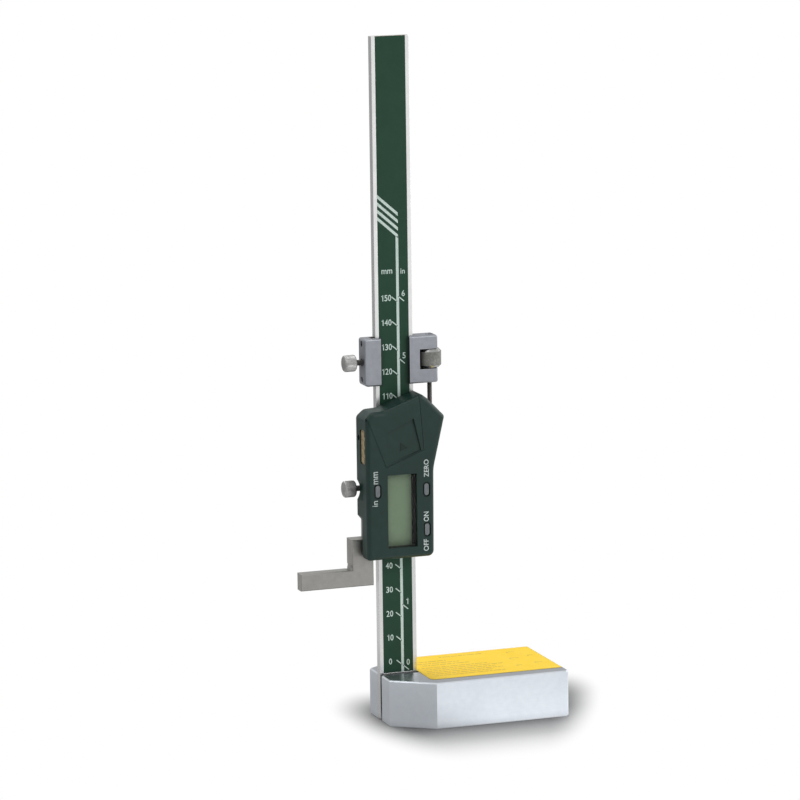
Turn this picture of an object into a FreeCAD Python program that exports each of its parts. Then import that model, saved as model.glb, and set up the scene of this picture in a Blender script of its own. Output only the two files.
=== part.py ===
import FreeCAD, Part
import os
from math import cos, pi, radians, sin, tan

# Mini digital height gauge for 150 mm. Millimetres. X runs along the base, away from the jaw,
# Y to the rear and Z up. The origin is the middle of the base's underside, and the scale looks to -Y.
# The slider stands where the scale reads 46.5 mm. All but the base is drawn with X = 0 in the middle
# of the beam and then moved to the beam's place in the base.

Vector = FreeCAD.Vector

# Fits. Cuts run a little past the faces they open (past), joined shapes overlap a little (overlap),
# and two places closer than same count as one.
running_gap = 0.05
clearance = 0.2
lid_gap = 0.15
body_gap = 0.3
gib_gap = 0.07
past = 1.0
overlap = 0.1
same = 0.01

# Base
base_length = 74.0
base_width = 47.0
base_height = 19.2
base_end_width = 24.0
base_corner_length = 16.4
base_edge = 0.5
base_corner_radius = 1.5

# Beam and its clamp screws
beam_width = 16.0
beam_thick = 3.5
beam_top = 279.8
beam_front = -0.8
beam_foot_gap = 0.8
slot_front_gap = 1.9
slot_side_gap = 0.2
clamp_diameter = 3.0
clamp_head_diameter = 5.5
clamp_head_height = 3.0
clamp_seat_depth = 9.0
clamp_heights = (5.2, 13.6)
head_socket_share = 0.55

# Circuit strip and printed label on the beam
strip_width = 12.7
strip_thick = 0.6
label_thick = 0.15
label_sink = 0.05
strip_start_gap = 0.4

# Plain label on the base
base_label_thick = 0.1
base_label_front = -17.3
base_label_back = 22.4
base_label_slot_gap = 0.1
base_label_corner = 1.4
base_label_end_gap = 0.3

# Scale reading, taken at the cover's lower edge
reading = 46.5
zero_above_base = 3.5

# Slider frame with the jaw
frame_front = -2.8
frame_thick = 7.2
frame_left_wall = 3.7
frame_right_wall = 2.65
frame_bottom_above_jaw = 12.4
frame_top_above_jaw = 69.8
jaw_height = 7.0
jaw_length = 31.1
jaw_thick = 5.2
jaw_gap = 2.7
tail_length = 6.4
tail_height = 19.3
relief_radius = 1.2
relief_shift = 0.9
relief_lift = 1.05
gib_thick = 1.6
gib_width = 3.1
gib_end_gap = 1.0
beam_side_gap = 0.05
frame_back_gap = 0.05
frame_edge = 0.4

# Ear of the slider that holds the fine adjustment rod
rod_offset = 7.55
rod_diameter = 2.0
rod_end_bevel = 0.3
rod_seat_above_jaw = 64.4
rod_top_above_jaw = 98.8
ear_wall = 1.8
ear_bottom_above_jaw = 63.8
ear_top_above_jaw = 71.8
ear_slope = 4.0
ear_foot = 1.6
pin_diameter = 0.8
pin_above_jaw = 67.0

# Set screws and lock screws, all along X in the middle of the beam's thickness
set_screw_diameter = 2.0
set_screw_socket = 1.0
set_screw_socket_depth = 0.8
set_screw_sink = 0.2
slider_set_above_jaw = (25.0, 58.0)
lock_diameter = 2.4
lock_head_diameter = 6.8
lock_head_length = 5.0
lock_head_chamfer = 0.7
lock_teeth = 36
lock_tooth_depth = 0.22
slider_lock_above_jaw = 39.86
slider_lock_reach = 3.6
carriage_lock_reach = 2.8
lock_neck = 0.1

# Cover of the display unit
cover_front = -12.2
cover_back = -1.0
cover_seat_gap = 0.02
cover_wall = 1.2
cover_side_wall = 1.3
cover_edge = 2.0
cover_left_draft = 0.6
cover_bottom_above_jaw = 12.0
cover_left_rim = 0.9
cover_right_rim = 1.7
cover_step = 2.1
cover_step_front = -6.0
cover_step_above_jaw = 26.8
cover_step_rise = 2.6
cover_bulge_reach = 2.0
cover_bulge_above_jaw = 69.3
cover_shoulder_above_jaw = 76.8
cover_shoulder_back = 7.2
cover_top_right_above_jaw = 78.8
cover_top_right_back = 9.8
cover_top_left_above_jaw = 72.9
cover_top_left_back = 26.1
cover_corner_above_jaw = 72.6
cover_corner_back = 31.2
cover_left_top_above_jaw = 70.0
cover_neck_above_jaw = 48.2
cover_bottom_radius = 2.5
cover_small_radius = 1.5
cover_neck_radius = 16.0
cover_right_draft = 0.3
grip_grooves = 5
grip_radius = 1.1
grip_depth = 0.3
grip_end_gap = 2.6
scallop_radius = 7.5
scallop_depth = 1.2
scallop_front = -7.5

# Window, lens and display
window_width = 12.5
window_offset = -1.25
window_bottom_above_jaw = 16.7
window_top_above_jaw = 46.7
lens_thick = 0.8
lens_lap = 1.9
display_gap = 2.3
display_thick = 2.0
display_lap = 0.9
holder_wall = 0.9
holder_gap = 0.1
connector_width = 1.8

# Circuit board
board_front = -3.6
board_thick = 0.8
board_left_gap = 0.4
board_right_gap = 0.5
board_bottom_above_jaw = 13.8
board_top_above_jaw = 69.3
reader_length = 46.0
reader_bottom_above_jaw = 18.8
reader_gap = 0.25

# Buttons and their switches
button_width = 1.9
button_height = 4.8
button_top = -12.1
button_well_width = 3.0
button_well_height = 6.2
button_well_depth = 0.8
button_flange_thick = 0.6
button_stem = 1.6
button_travel = 0.5
button_left_inset = 2.9
button_zero_inset = 3.6
button_power_inset = 3.5
units_key_above_jaw = 40.5
zero_key_above_jaw = 39.9
power_key_above_jaw = 23.4
button_flange_gap = 0.4
switch_side = 2.6
switch_thick = 1.5
plunger_diameter = 1.5
plunger_height = 0.5

# Battery, its chamber and its lid
lid_angle = 21.0
lid_thick = 1.6
lid_corner_left = (-7.9, 50.1)
lid_corner_right = (8.1, 56.2)
lid_top_right = (6.4, 78.1)
lid_length = 22.5
lid_reach = 12.0
lid_tongue = 0.6
lid_tongue_thick = 0.6
lid_tongue_length = 12.0
lid_tongue_start = 1.0
lid_groove_length = 30.0
lid_right_groove_length = 16.0
thumb_corners = ((-6.6, 51.2), (7.0, 56.1), (4.0, 69.3), (-8.3, 63.6))
thumb_depth = 0.9
thumb_lip = 0.05
battery_diameter = 11.6
battery_thick = 5.4
battery_x = -2.0
battery_edge = 0.4
battery_above_jaw = 61.8
battery_side_gap = 0.2
chamber_wall = 0.9
chamber_board_gap = 1.0
contact_thick = 0.3
contact_width = 4.0
contact_slot_depth = 2.0
contact_foot = 1.6
contact_top_gap = 0.4

# Data port
port_above_jaw = 51.2
port_length = 14.1
port_front = -9.9
port_back = -4.9
port_corner = 1.2
port_sink = 0.5
port_depth = 2.9
port_lip = 0.2
port_pads = 4
port_pad_edge = 0.8
side_hole_diameter = 2.3
side_hole_depth = 1.2
side_hole_y = -3.4
side_hole_above_jaw = 61.6

# Cover screws
cover_screw_diameter = 1.4
cover_screw_head = 2.4
cover_screw_head_height = 0.9
head_sink = 0.1
cover_screw_depth = 4.6
cover_post_diameter = 3.3
cover_screw_slot_length = 1.6
cover_screw_slot_width = 0.3
cover_screws_above_jaw = (17.3, 66.8)

# Fine adjustment carriage and nut
carriage_left_wall = 3.6
carriage_right_reach = 2.5
carriage_bottom_above_jaw = 81.7
carriage_height = 19.4
carriage_edge = 0.95
carriage_corner = 1.6
carriage_left_lip = 1.7
carriage_right_lip = 2.0
carriage_rim = 0.25
carriage_front_round = 0.8
carriage_set_screws = (2.65, 17.2)
carriage_set_diameter = 2.4
carriage_set_sink = 0.7
carriage_lock = 9.6
carriage_lock_recess = 3.2
carriage_lock_recess_depth = 0.5
notch_reach = 5.3
notch_bottom = 5.7
notch_height = 8.2
rod_hole_diameter = 2.6
rod_top_hole_diameter = 4.0
rod_top_hole_depth = 2.0
nut_diameter = 9.8
nut_height = 7.6
nut_end_gap = 0.15
nut_chamfer = 1.0
nut_hub_diameter = 7.0
nut_bore_gap = 0.05
nut_teeth = 40
nut_tooth_depth = 0.28

# Places that follow
beam_place = Vector(-base_length / 2 + beam_width / 2, 0, 0)
beam_left = -beam_width / 2
beam_right = beam_width / 2
beam_back = beam_front + beam_thick
screw_y = beam_front + beam_thick / 2
frame_back = frame_front + frame_thick
jaw_bottom = base_height + zero_above_base + reading - cover_bottom_above_jaw
channel_front = beam_front - frame_back_gap
channel_back = beam_back + frame_back_gap
channel_left = beam_left - beam_side_gap - gib_thick - gib_gap
channel_right = beam_right + beam_side_gap
gib_left = beam_left - beam_side_gap - gib_thick
frame_left = channel_left - frame_left_wall
frame_right = channel_right + frame_right_wall
jaw_right = beam_left - jaw_gap
jaw_tip = jaw_right - jaw_length
jaw_back = frame_front + jaw_thick
tail_left = frame_left - tail_length
rod_x = channel_right + rod_offset
ear_right = rod_x + ear_wall
slider_lock_head = frame_left - slider_lock_reach
cover_waist_left = frame_left - body_gap - cover_left_rim
cover_left = cover_waist_left - cover_step
cover_right = frame_right + body_gap + cover_right_rim
cover_bulge = rod_x + cover_bulge_reach
cover_inner_left = cover_waist_left + cover_wall
cover_inner_right = cover_right - cover_side_wall
window_left = window_offset - window_width / 2
window_right = window_offset + window_width / 2
board_left = cover_inner_left + board_left_gap
board_right = cover_inner_right - board_right_gap
cover_screw_left = channel_left - frame_left_wall / 2
cover_screw_right = channel_right + frame_right_wall / 2
carriage_left = channel_left - carriage_left_wall
carriage_right = rod_x + carriage_right_reach
carriage_lock_head = carriage_left - carriage_lock_reach
carriage_window_left = beam_left + carriage_left_lip
carriage_window_right = beam_right - carriage_right_lip
notch_left = rod_x - notch_reach
button_places = {
    "button_units": (cover_waist_left + button_left_inset, jaw_bottom + units_key_above_jaw),
    "button_zero": (cover_right - button_zero_inset, jaw_bottom + zero_key_above_jaw),
    "button_power": (cover_right - button_power_inset, jaw_bottom + power_key_above_jaw),
}
label_front = beam_front + label_sink
groove_depth = label_sink + label_thick + strip_thick
cover_inner_front = cover_front + cover_wall
cover_depth = cover_back - cover_front
lid_back = cover_front + lid_thick
chamber_front = lid_back + lid_gap
chamber_back = chamber_front + cover_wall
board_back = board_front + board_thick
display_front = cover_inner_front + lens_thick + display_gap
display_back = display_front + display_thick
carriage_bottom = jaw_bottom + carriage_bottom_above_jaw
lid_direction = Vector(-sin(radians(lid_angle)), 0, cos(radians(lid_angle)))


def block(x0, x1, y0, y1, z0, z1):
    return Part.makeBox(x1 - x0, y1 - y0, z1 - z0, Vector(x0, y0, z0))


def rod_along(direction, start, diameter, length):
    return Part.makeCylinder(diameter / 2, length, start, direction)


def along_x(x, y, z, diameter, length):
    return rod_along(Vector(1, 0, 0), Vector(x, y, z), diameter, length)


def along_y(x, y, z, diameter, length):
    return rod_along(Vector(0, 1, 0), Vector(x, y, z), diameter, length)


def along_z(x, y, z, diameter, length):
    return rod_along(Vector(0, 0, 1), Vector(x, y, z), diameter, length)


def closed_wire(points):
    return Part.makePolygon(points + [points[0]])


def front_plate(outline, y0, y1):
    """Solid between y0 and y1 with an outline of (x, z) points."""
    wire = closed_wire([Vector(x, y0, z) for x, z in outline])
    return Part.Face(wire).extrude(Vector(0, y1 - y0, 0))


def rounded_wire(corners, y0):
    """Closed wire at y0 round corners of (x, z, radius)."""
    edges = []
    ends = []
    count = len(corners)
    for i, (x, z, radius) in enumerate(corners):
        here = Vector(x, y0, z)
        before = Vector(corners[i - 1][0], y0, corners[i - 1][1]) - here
        after = Vector(corners[(i + 1) % count][0], y0, corners[(i + 1) % count][1]) - here
        turn = before.getAngle(after)
        before.normalize()
        after.normalize()
        reach = radius / tan(turn / 2) if radius else 0
        start = here + before * reach
        end = here + after * reach
        ends.append((start, end))
        if radius:
            middle_way = before + after
            middle_way.normalize()
            middle = here + middle_way * (radius / sin(turn / 2) - radius)
            edges.append(Part.Arc(start, middle, end).toShape())
    sides = []
    for i in range(count):
        sides.append(Part.LineSegment(ends[i - 1][1], ends[i][0]).toShape())
    return Part.Wire(Part.__sortEdges__(edges + sides))


def rounded_plate(corners, y0, y1):
    """Like front_plate, with corners of (x, z, radius)."""
    return Part.Face(rounded_wire(corners, y0)).extrude(Vector(0, y1 - y0, 0))


def stadium(x, z, width, height, y0, y1):
    """Upright slot shape with round ends."""
    straight = (height - width) / 2
    body = block(x - width / 2, x + width / 2, y0, y1, z - straight, z + straight)
    for end in (z - straight, z + straight):
        body = body.fuse(along_y(x, y0, end, width, y1 - y0))
    return body.removeSplitter()


def joined(shapes):
    body = shapes[0]
    for shape in shapes[1:]:
        body = body.fuse(shape)
    return body.removeSplitter()


def soften(shape, size, choose):
    """Small bevel on the edges that choose picks."""
    edges = [edge for edge in shape.Edges if choose(edge)]
    return shape.makeChamfer(size, edges) if edges else shape


def edge_box(edge):
    return edge.BoundBox


def knurled(diameter, length, chamfer, teeth, depth):
    """Knurled drum on the Z axis, from z = 0 up, with chamfered ends."""
    radius = diameter / 2
    points = []
    for i in range(2 * teeth):
        angle = pi * i / teeth
        reach = radius if i % 2 == 0 else radius - depth
        points.append(Vector(reach * cos(angle), reach * sin(angle), 0))
    star = Part.Face(closed_wire(points)).extrude(Vector(0, 0, length))
    profile = [
        Vector(0, 0, 0),
        Vector(radius - chamfer, 0, 0),
        Vector(radius, 0, chamfer),
        Vector(radius, 0, length - chamfer),
        Vector(radius - chamfer, 0, length),
        Vector(0, 0, length),
    ]
    drum = Part.Face(closed_wire(profile)).revolve(Vector(0, 0, 0), Vector(0, 0, 1), 360)
    return star.common(drum)


def place_along_x(shape, x, y, z):
    """Lays a shape made along Z down along X, with its z = 0 end at x."""
    turned = shape.copy()
    turned.rotate(Vector(0, 0, 0), Vector(0, 1, 0), 90)
    turned.translate(Vector(x, y, z))
    return turned


def hexagon(across, depth):
    reach = across / 2 / cos(pi / 6)
    points = [Vector(reach * cos(pi * i / 3), reach * sin(pi * i / 3), 0) for i in range(6)]
    return Part.Face(closed_wire(points)).extrude(Vector(0, 0, depth))


def base_block():
    half_length = base_length / 2
    half_width = base_width / 2
    half_end = base_end_width / 2
    chamfer_x = -half_length + base_corner_length
    outline = [
        Vector(-half_length, -half_end, 0),
        Vector(chamfer_x, -half_width, 0),
        Vector(half_length, -half_width, 0),
        Vector(half_length, half_width, 0),
        Vector(chamfer_x, half_width, 0),
        Vector(-half_length, half_end, 0),
    ]
    body = Part.Face(closed_wire(outline)).extrude(Vector(0, 0, base_height))
    end_edges = [edge for edge in body.Edges if edge_box(edge).XMin > half_length - same]
    upright = [edge for edge in end_edges if edge_box(edge).ZLength > same]
    body = body.makeFillet(base_corner_radius, upright)
    rims = [edge for edge in body.Edges if edge_box(edge).ZLength < same]
    body = body.makeChamfer(base_edge, rims)
    slot_front = beam_front - slot_front_gap
    slot_left = beam_place.x + beam_left
    slot_end = slot_left + beam_width + slot_side_gap
    body = body.cut(block(slot_left - past, slot_end, slot_front, beam_back, -past, base_height + past))
    seat = beam_back + clamp_seat_depth
    for z in clamp_heights:
        x = beam_place.x
        body = body.cut(along_y(x, beam_back - overlap, z, clamp_diameter + 2 * clearance, base_width))
        body = body.cut(along_y(x, seat, z, clamp_head_diameter + 2 * clearance, base_width))
    return body


def beam():
    body = block(beam_left, beam_right, beam_front, beam_back, beam_foot_gap, beam_top)
    groove = block(
        -strip_width / 2,
        strip_width / 2,
        beam_front - past,
        beam_front + groove_depth,
        base_height + strip_start_gap,
        beam_top + past,
    )
    body = body.cut(groove)
    for z in clamp_heights:
        body = body.cut(along_y(0, beam_front - past, z, clamp_diameter, beam_thick + 2 * past))
    return body


def label_plate(y0, thick):
    left = -strip_width / 2
    right = strip_width / 2
    return block(left, right, y0, y0 + thick, base_height + strip_start_gap, beam_top)


def base_label():
    left = beam_place.x + beam_right + slot_side_gap + base_label_slot_gap
    right = base_length / 2 - base_edge - base_label_end_gap
    cut = base_label_corner
    outline = [
        Vector(left + cut, base_label_front, base_height),
        Vector(right, base_label_front, base_height),
        Vector(right, base_label_back, base_height),
        Vector(left, base_label_back, base_height),
        Vector(left, base_label_front + cut, base_height),
    ]
    return Part.Face(closed_wire(outline)).extrude(Vector(0, 0, base_label_thick))


def clamp_screws():
    screws = []
    seat = beam_back + clamp_seat_depth
    for z in clamp_heights:
        start = beam_front + label_thick
        shank = along_y(0, start, z, clamp_diameter, seat - start)
        head = along_y(0, seat, z, clamp_head_diameter, clamp_head_height)
        across = clamp_head_diameter * head_socket_share
        socket = hexagon(across, clamp_head_height)
        socket.rotate(Vector(0, 0, 0), Vector(1, 0, 0), -90)
        socket.translate(Vector(0, seat + clamp_head_height / 2, z))
        screws.append(shank.fuse(head).removeSplitter().cut(socket))
    return Part.makeCompound(screws)


def wall_holes(body, left, heights, diameter, lock_height):
    """Threaded holes of the set screws and the lock screw through a left wall."""
    start = left - past
    length = channel_left + past - start
    for z in heights:
        body = body.cut(along_x(start, screw_y, z, diameter, length))
    return body.cut(along_x(start, screw_y, lock_height, lock_diameter + 2 * running_gap, length))


def beam_channel(z0, z1):
    return block(channel_left, channel_right, channel_front, channel_back, z0, z1)


def slider_frame():
    bottom = jaw_bottom + frame_bottom_above_jaw
    top = jaw_bottom + frame_top_above_jaw
    ear_bottom = jaw_bottom + ear_bottom_above_jaw
    ear_top = jaw_bottom + ear_top_above_jaw
    jaw_top = jaw_bottom + jaw_height
    outline = [
        (jaw_tip, jaw_bottom),
        (jaw_right, jaw_bottom),
        (jaw_right, bottom),
        (frame_right, bottom),
        (frame_right, ear_bottom),
        (ear_right - ear_foot, ear_bottom),
        (ear_right, ear_bottom + ear_foot),
        (ear_right, ear_top - ear_slope),
        (ear_right - ear_slope, ear_top),
        (frame_right, ear_top),
        (frame_right, top),
        (frame_left, top),
        (frame_left, jaw_bottom + tail_height),
        (tail_left, jaw_bottom + tail_height),
        (tail_left, jaw_top),
        (jaw_tip, jaw_top),
    ]
    body = front_plate(outline, frame_front, frame_back)
    body = body.cut(block(jaw_tip - past, tail_left, jaw_back, frame_back + past,
                          jaw_bottom - past, jaw_top + past))
    body = soften(body, frame_edge, is_jaw_rim)
    body = body.fuse(block(tail_left - relief_shift, tail_left + frame_edge,
                           frame_front + frame_edge, jaw_back - frame_edge,
                           jaw_top - frame_edge, jaw_top + relief_lift))
    through = frame_thick + 2 * past
    body = body.cut(along_y(tail_left - relief_shift, frame_front - past, jaw_top + relief_lift,
                            2 * relief_radius, through))
    body = body.cut(beam_channel(bottom - past, ear_top + past))
    body = body.cut(reader_box(clearance))
    heights = [jaw_bottom + z for z in slider_set_above_jaw]
    body = wall_holes(body, frame_left, heights, set_screw_diameter, jaw_bottom + slider_lock_above_jaw)
    seat = jaw_bottom + rod_seat_above_jaw
    body = body.cut(along_z(rod_x, screw_y, seat, rod_diameter, ear_top - seat + past))
    pin_z = jaw_bottom + pin_above_jaw
    body = body.cut(along_y(rod_x, frame_front - past, pin_z, pin_diameter, through))
    for x, z in cover_screw_places():
        body = body.cut(along_y(x, frame_front - past, z, cover_screw_diameter, through))
        seat_y = frame_back - cover_screw_head_height
        body = body.cut(along_y(x, seat_y, z, cover_screw_head + clearance, cover_screw_head_height + past))
    return body


def is_jaw_rim(edge):
    """Edges of the jaw and the tail that lie in their front or rear planes."""
    box = edge_box(edge)
    planes = (frame_front, jaw_back, frame_back)
    flat = any(abs(box.YMin - y) < same and abs(box.YMax - y) < same for y in planes)
    return flat and box.XMax < jaw_right + same and box.ZMax < jaw_bottom + tail_height + same


def gib(z0, z1):
    return block(gib_left, gib_left + gib_thick, screw_y - gib_width / 2, screw_y + gib_width / 2, z0, z1)


def set_screw(left, z, diameter, sink):
    start = left + sink
    body = along_x(start, screw_y, z, diameter, gib_left - start)
    socket = hexagon(set_screw_socket, set_screw_socket_depth + past)
    return body.cut(place_along_x(socket, start - past, screw_y, z))


def lock_screw(head_x, z):
    """Knurled screw whose head starts at head_x and goes to the left."""
    head = knurled(lock_head_diameter, lock_head_length, lock_head_chamfer, lock_teeth, lock_tooth_depth)
    head = place_along_x(head, head_x - lock_head_length, screw_y, z)
    start = head_x - lock_neck
    shank = along_x(start, screw_y, z, lock_diameter, gib_left - running_gap - start)
    return head.fuse(shank)


def reader_box(gap):
    z0 = jaw_bottom + reader_bottom_above_jaw
    back = channel_front + past if gap else label_front - reader_gap
    half = strip_width / 2 - body_gap
    return block(-half - gap, half + gap, board_back - gap, back,
                 z0 - gap, z0 + reader_length + gap)


def circuit_board():
    plate = block(board_left, board_right, board_front, board_back,
                  jaw_bottom + board_bottom_above_jaw, jaw_bottom + board_top_above_jaw)
    body = plate.fuse(reader_box(0))
    for x, z in cover_screw_places():
        hole = cover_post_diameter + 2 * clearance
        body = body.cut(along_y(x, board_front - past, z, hole, board_thick + 2 * past))
    return body.removeSplitter()


def cover_screw_places():
    heights = [jaw_bottom + z for z in cover_screws_above_jaw]
    return [(x, z) for x in (cover_screw_left, cover_screw_right) for z in heights]


def cover_outline(draft):
    """Outline of the cover as (x, z, corner radius), from the lower left corner round to the right."""
    base = jaw_bottom
    left = cover_left + draft
    bottom = base + cover_bottom_above_jaw
    return [
        (left, bottom, cover_small_radius),
        (cover_right - cover_right_draft, bottom, cover_bottom_radius),
        (cover_right, base + cover_neck_above_jaw, cover_neck_radius),
        (cover_bulge, base + cover_bulge_above_jaw, cover_small_radius),
        (cover_bulge - cover_shoulder_back, base + cover_shoulder_above_jaw, cover_bottom_radius),
        (cover_bulge - cover_top_right_back, base + cover_top_right_above_jaw, cover_small_radius),
        (cover_bulge - cover_top_left_back, base + cover_top_left_above_jaw, cover_bottom_radius),
        (cover_bulge - cover_corner_back, base + cover_corner_above_jaw, cover_bottom_radius),
        (left, base + cover_left_top_above_jaw, cover_edge),
    ]


def side_cuts():
    """Room beside the jaw's tail and the lock screw, behind the cover's straight front rim."""
    step = jaw_bottom + cover_step_above_jaw
    outline = [
        (cover_left - past, jaw_bottom, 0),
        (cover_waist_left, jaw_bottom, 0),
        (cover_waist_left, step, cover_small_radius),
        (cover_left, step + cover_step_rise, 0),
        (cover_left - past, step + cover_step_rise, 0),
    ]
    waist = rounded_plate(outline, cover_step_front, cover_back + past)
    scallop_x = cover_left - scallop_radius + scallop_depth
    lock_z = jaw_bottom + slider_lock_above_jaw
    length = cover_back + past - scallop_front
    scallop = along_y(scallop_x, scallop_front, lock_z, 2 * scallop_radius, length)
    return [waist, scallop]


def cover_solid():
    """The whole outer shape of cover and battery lid, with its rounded front rim."""
    front = rounded_wire(cover_outline(cover_left_draft), cover_front)
    rear = rounded_wire(cover_outline(0), cover_back)
    body = Part.makeLoft([front, rear], True, True)
    rim = [edge for edge in body.Edges if edge_box(edge).YMax < cover_front + same]
    return body.makeFillet(cover_edge, rim)


def lid_outline(gap):
    """Lid as (x, z) points, past the cover's slanted top, grown by gap."""
    base = jaw_bottom
    left = Vector(lid_corner_left[0], 0, lid_corner_left[1] + base)
    right = Vector(lid_corner_right[0], 0, lid_corner_right[1] + base)
    top = Vector(lid_top_right[0], 0, lid_top_right[1] + base)
    right_side = top - right
    right_side.normalize()
    top_right = top + right_side * lid_reach
    top_left = left + lid_direction * (lid_length + lid_reach)
    face = Part.Face(closed_wire([left, right, top_right, top_left]))
    if gap:
        face = face.makeOffset2D(gap, 2)
    return [(v.Point.x, v.Point.z) for v in face.OuterWire.OrderedVertexes]


def tongue(side, reach, thick_gap, length):
    """Guide strip beside the lid's left or right edge, under the cover's lip."""
    base = jaw_bottom
    y0 = lid_back - lid_tongue_thick - thick_gap
    y1 = lid_back + thick_gap
    if side == "left":
        foot = Vector(lid_corner_left[0], y0, lid_corner_left[1] + base)
        way = Vector(lid_direction)
        out = Vector(-way.z, 0, way.x)
    else:
        foot = Vector(lid_corner_right[0], y0, lid_corner_right[1] + base)
        way = Vector(lid_top_right[0], y0, lid_top_right[1] + base) - foot
        way.normalize()
        out = Vector(way.z, 0, -way.x)
    start = foot + way * (lid_tongue_start - thick_gap)
    end = foot + way * (lid_tongue_start + length)
    inner = out * -lid_tongue
    outer = out * reach
    wire = closed_wire([start + inner, end + inner, end + outer, start + outer])
    return Part.Face(wire).extrude(Vector(0, y1 - y0, 0))


def thumb_recess():
    """Sloping sink in the lid, deepest at its upper right corner."""
    base = jaw_bottom
    low = Vector(thumb_corners[0][0], 0, thumb_corners[0][1])
    high = Vector(thumb_corners[2][0], 0, thumb_corners[2][1])
    span = high - low
    top = []
    floor = []
    for x, z in thumb_corners:
        share = (Vector(x, 0, z) - low).dot(span) / span.dot(span)
        top.append(Vector(x, cover_front - past, z + base))
        floor.append(Vector(x, cover_front + thumb_lip + (thumb_depth - thumb_lip) * share, z + base))
    faces = [Part.Face(closed_wire(top)), Part.Face(closed_wire(floor))]
    for i in range(4):
        j = (i + 1) % 4
        faces.append(Part.Face(closed_wire([top[i], top[j], floor[j], floor[i]])))
    shell = Part.Shell(faces)
    solid = Part.Solid(shell)
    if solid.Volume < 0:
        solid.reverse()
    return solid


def battery_lid():
    plate = front_plate(lid_outline(0), cover_front - past, lid_back)
    body = cover_solid().common(plate)
    for side in ("left", "right"):
        body = body.fuse(tongue(side, lid_tongue, 0, lid_tongue_length))
    return body.removeSplitter().cut(thumb_recess())


def chamber_ring():
    """Round wall of the battery chamber behind the cover's front wall."""
    z = jaw_bottom + battery_above_jaw
    inner = battery_diameter + 2 * battery_side_gap
    start = chamber_back - chamber_wall / 2
    return along_y(battery_x, start, z, inner + 2 * chamber_wall, board_front - chamber_board_gap - start)


def cover_cavity():
    """Space inside the cover, less deep behind the battery lid."""
    base = jaw_bottom
    step = base + window_top_above_jaw + lens_lap + cover_wall
    wire = closed_wire([Vector(x, cover_inner_front, z) for x, z, radius in cover_outline(0)])
    inner = Part.Face(wire).makeOffset2D(-cover_side_wall, 2)
    space = inner.extrude(Vector(0, -cover_inner_front, 0))
    space = space.common(block(cover_inner_left, cover_bulge, cover_front, 0, base, base + beam_top))
    front_wall = block(cover_left, cover_bulge, cover_front, chamber_back, step, base + beam_top)
    return space.cut(front_wall)


def grip_cuts():
    """Grooves of the thumb grip between the neck and the bulge."""
    neck = Vector(cover_right, 0, jaw_bottom + cover_neck_above_jaw)
    bulge = Vector(cover_bulge, 0, jaw_bottom + cover_bulge_above_jaw)
    way = bulge - neck
    length = way.Length
    way.normalize()
    out = Vector(way.z, 0, -way.x)
    cuts = []
    for i in range(grip_grooves):
        share = i / (grip_grooves - 1)
        along = grip_end_gap + (length - 2 * grip_end_gap) * share
        middle = neck + way * along + out * (grip_radius - grip_depth)
        cuts.append(along_y(middle.x, cover_front - past, middle.z, 2 * grip_radius, cover_depth + 2 * past))
    return cuts


def cover_housing():
    body = cover_solid()
    body = body.cut(front_plate(lid_outline(lid_gap), cover_front - past, chamber_front))
    body = body.cut(cover_cavity())
    body = body.fuse(chamber_ring())
    posts = []
    for x, z in cover_screw_places():
        above = z > jaw_bottom + window_top_above_jaw
        start = (chamber_back if above else cover_inner_front) - cover_wall / 2
        posts.append(along_y(x, start, z, cover_post_diameter, frame_front - start))
    for post in posts:
        body = body.fuse(post)
    cuts = grip_cuts()
    for side, length in (("left", lid_groove_length), ("right", lid_right_groove_length)):
        cuts.append(tongue(side, lid_tongue + lid_gap, lid_gap, length))
    z = jaw_bottom + battery_above_jaw
    inner = battery_diameter + 2 * battery_side_gap
    cuts.append(along_y(battery_x, chamber_front - overlap, z, inner, board_front - chamber_front))
    cuts.append(contact_slot())
    cuts += side_cuts()
    cuts.append(port_slot())
    hole_z = jaw_bottom + side_hole_above_jaw
    cuts.append(along_x(cover_left - past, side_hole_y, hole_z, side_hole_diameter, side_hole_depth + past))
    cuts.append(window_cut())
    for x, z in cover_screw_places():
        tip = frame_front - cover_screw_depth
        cuts.append(along_y(x, tip, z, cover_screw_diameter, cover_screw_depth + past))
    for x, z in button_places.values():
        well_end = cover_front + button_well_depth
        cuts.append(stadium(x, z, button_well_width, button_well_height, cover_front - past, well_end))
        cuts.append(stadium(x, z, button_width + 2 * lid_gap, button_height + 2 * lid_gap,
                            cover_front - past, cover_inner_front + past))
    cuts += frame_clearance()
    for cut in cuts:
        body = body.cut(cut)
    return body.removeSplitter()


def frame_clearance():
    """Room for the slider frame, its tail and its ear in the cover's rear rim."""
    base = jaw_bottom
    y0 = frame_front - cover_seat_gap
    y1 = cover_back + past
    main = block(frame_left - body_gap, frame_right + body_gap, y0, y1,
                 base, base + frame_top_above_jaw + body_gap)
    tail = block(tail_left - past, frame_left, y0, y1, base, base + tail_height + body_gap)
    ear = block(frame_right - past, cover_bulge + past, y0, y1, base + ear_bottom_above_jaw - body_gap,
                base + ear_top_above_jaw + body_gap)
    return [main, tail, ear]


def window_cut():
    return block(window_left, window_right, cover_front - past, cover_inner_front + past,
                 jaw_bottom + window_bottom_above_jaw, jaw_bottom + window_top_above_jaw)


def window_lens():
    lap = lens_lap
    return block(window_left - lap, window_right + lap, cover_inner_front, cover_inner_front + lens_thick,
                 jaw_bottom + window_bottom_above_jaw - lap, jaw_bottom + window_top_above_jaw + lap)


def display_box(gap, y0, y1):
    lap = display_lap + gap
    return block(window_left - lap, window_right + lap, y0, y1,
                 jaw_bottom + window_bottom_above_jaw - lap, jaw_bottom + window_top_above_jaw + lap)


def display_panel():
    return display_box(0, display_front, display_back)


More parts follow.
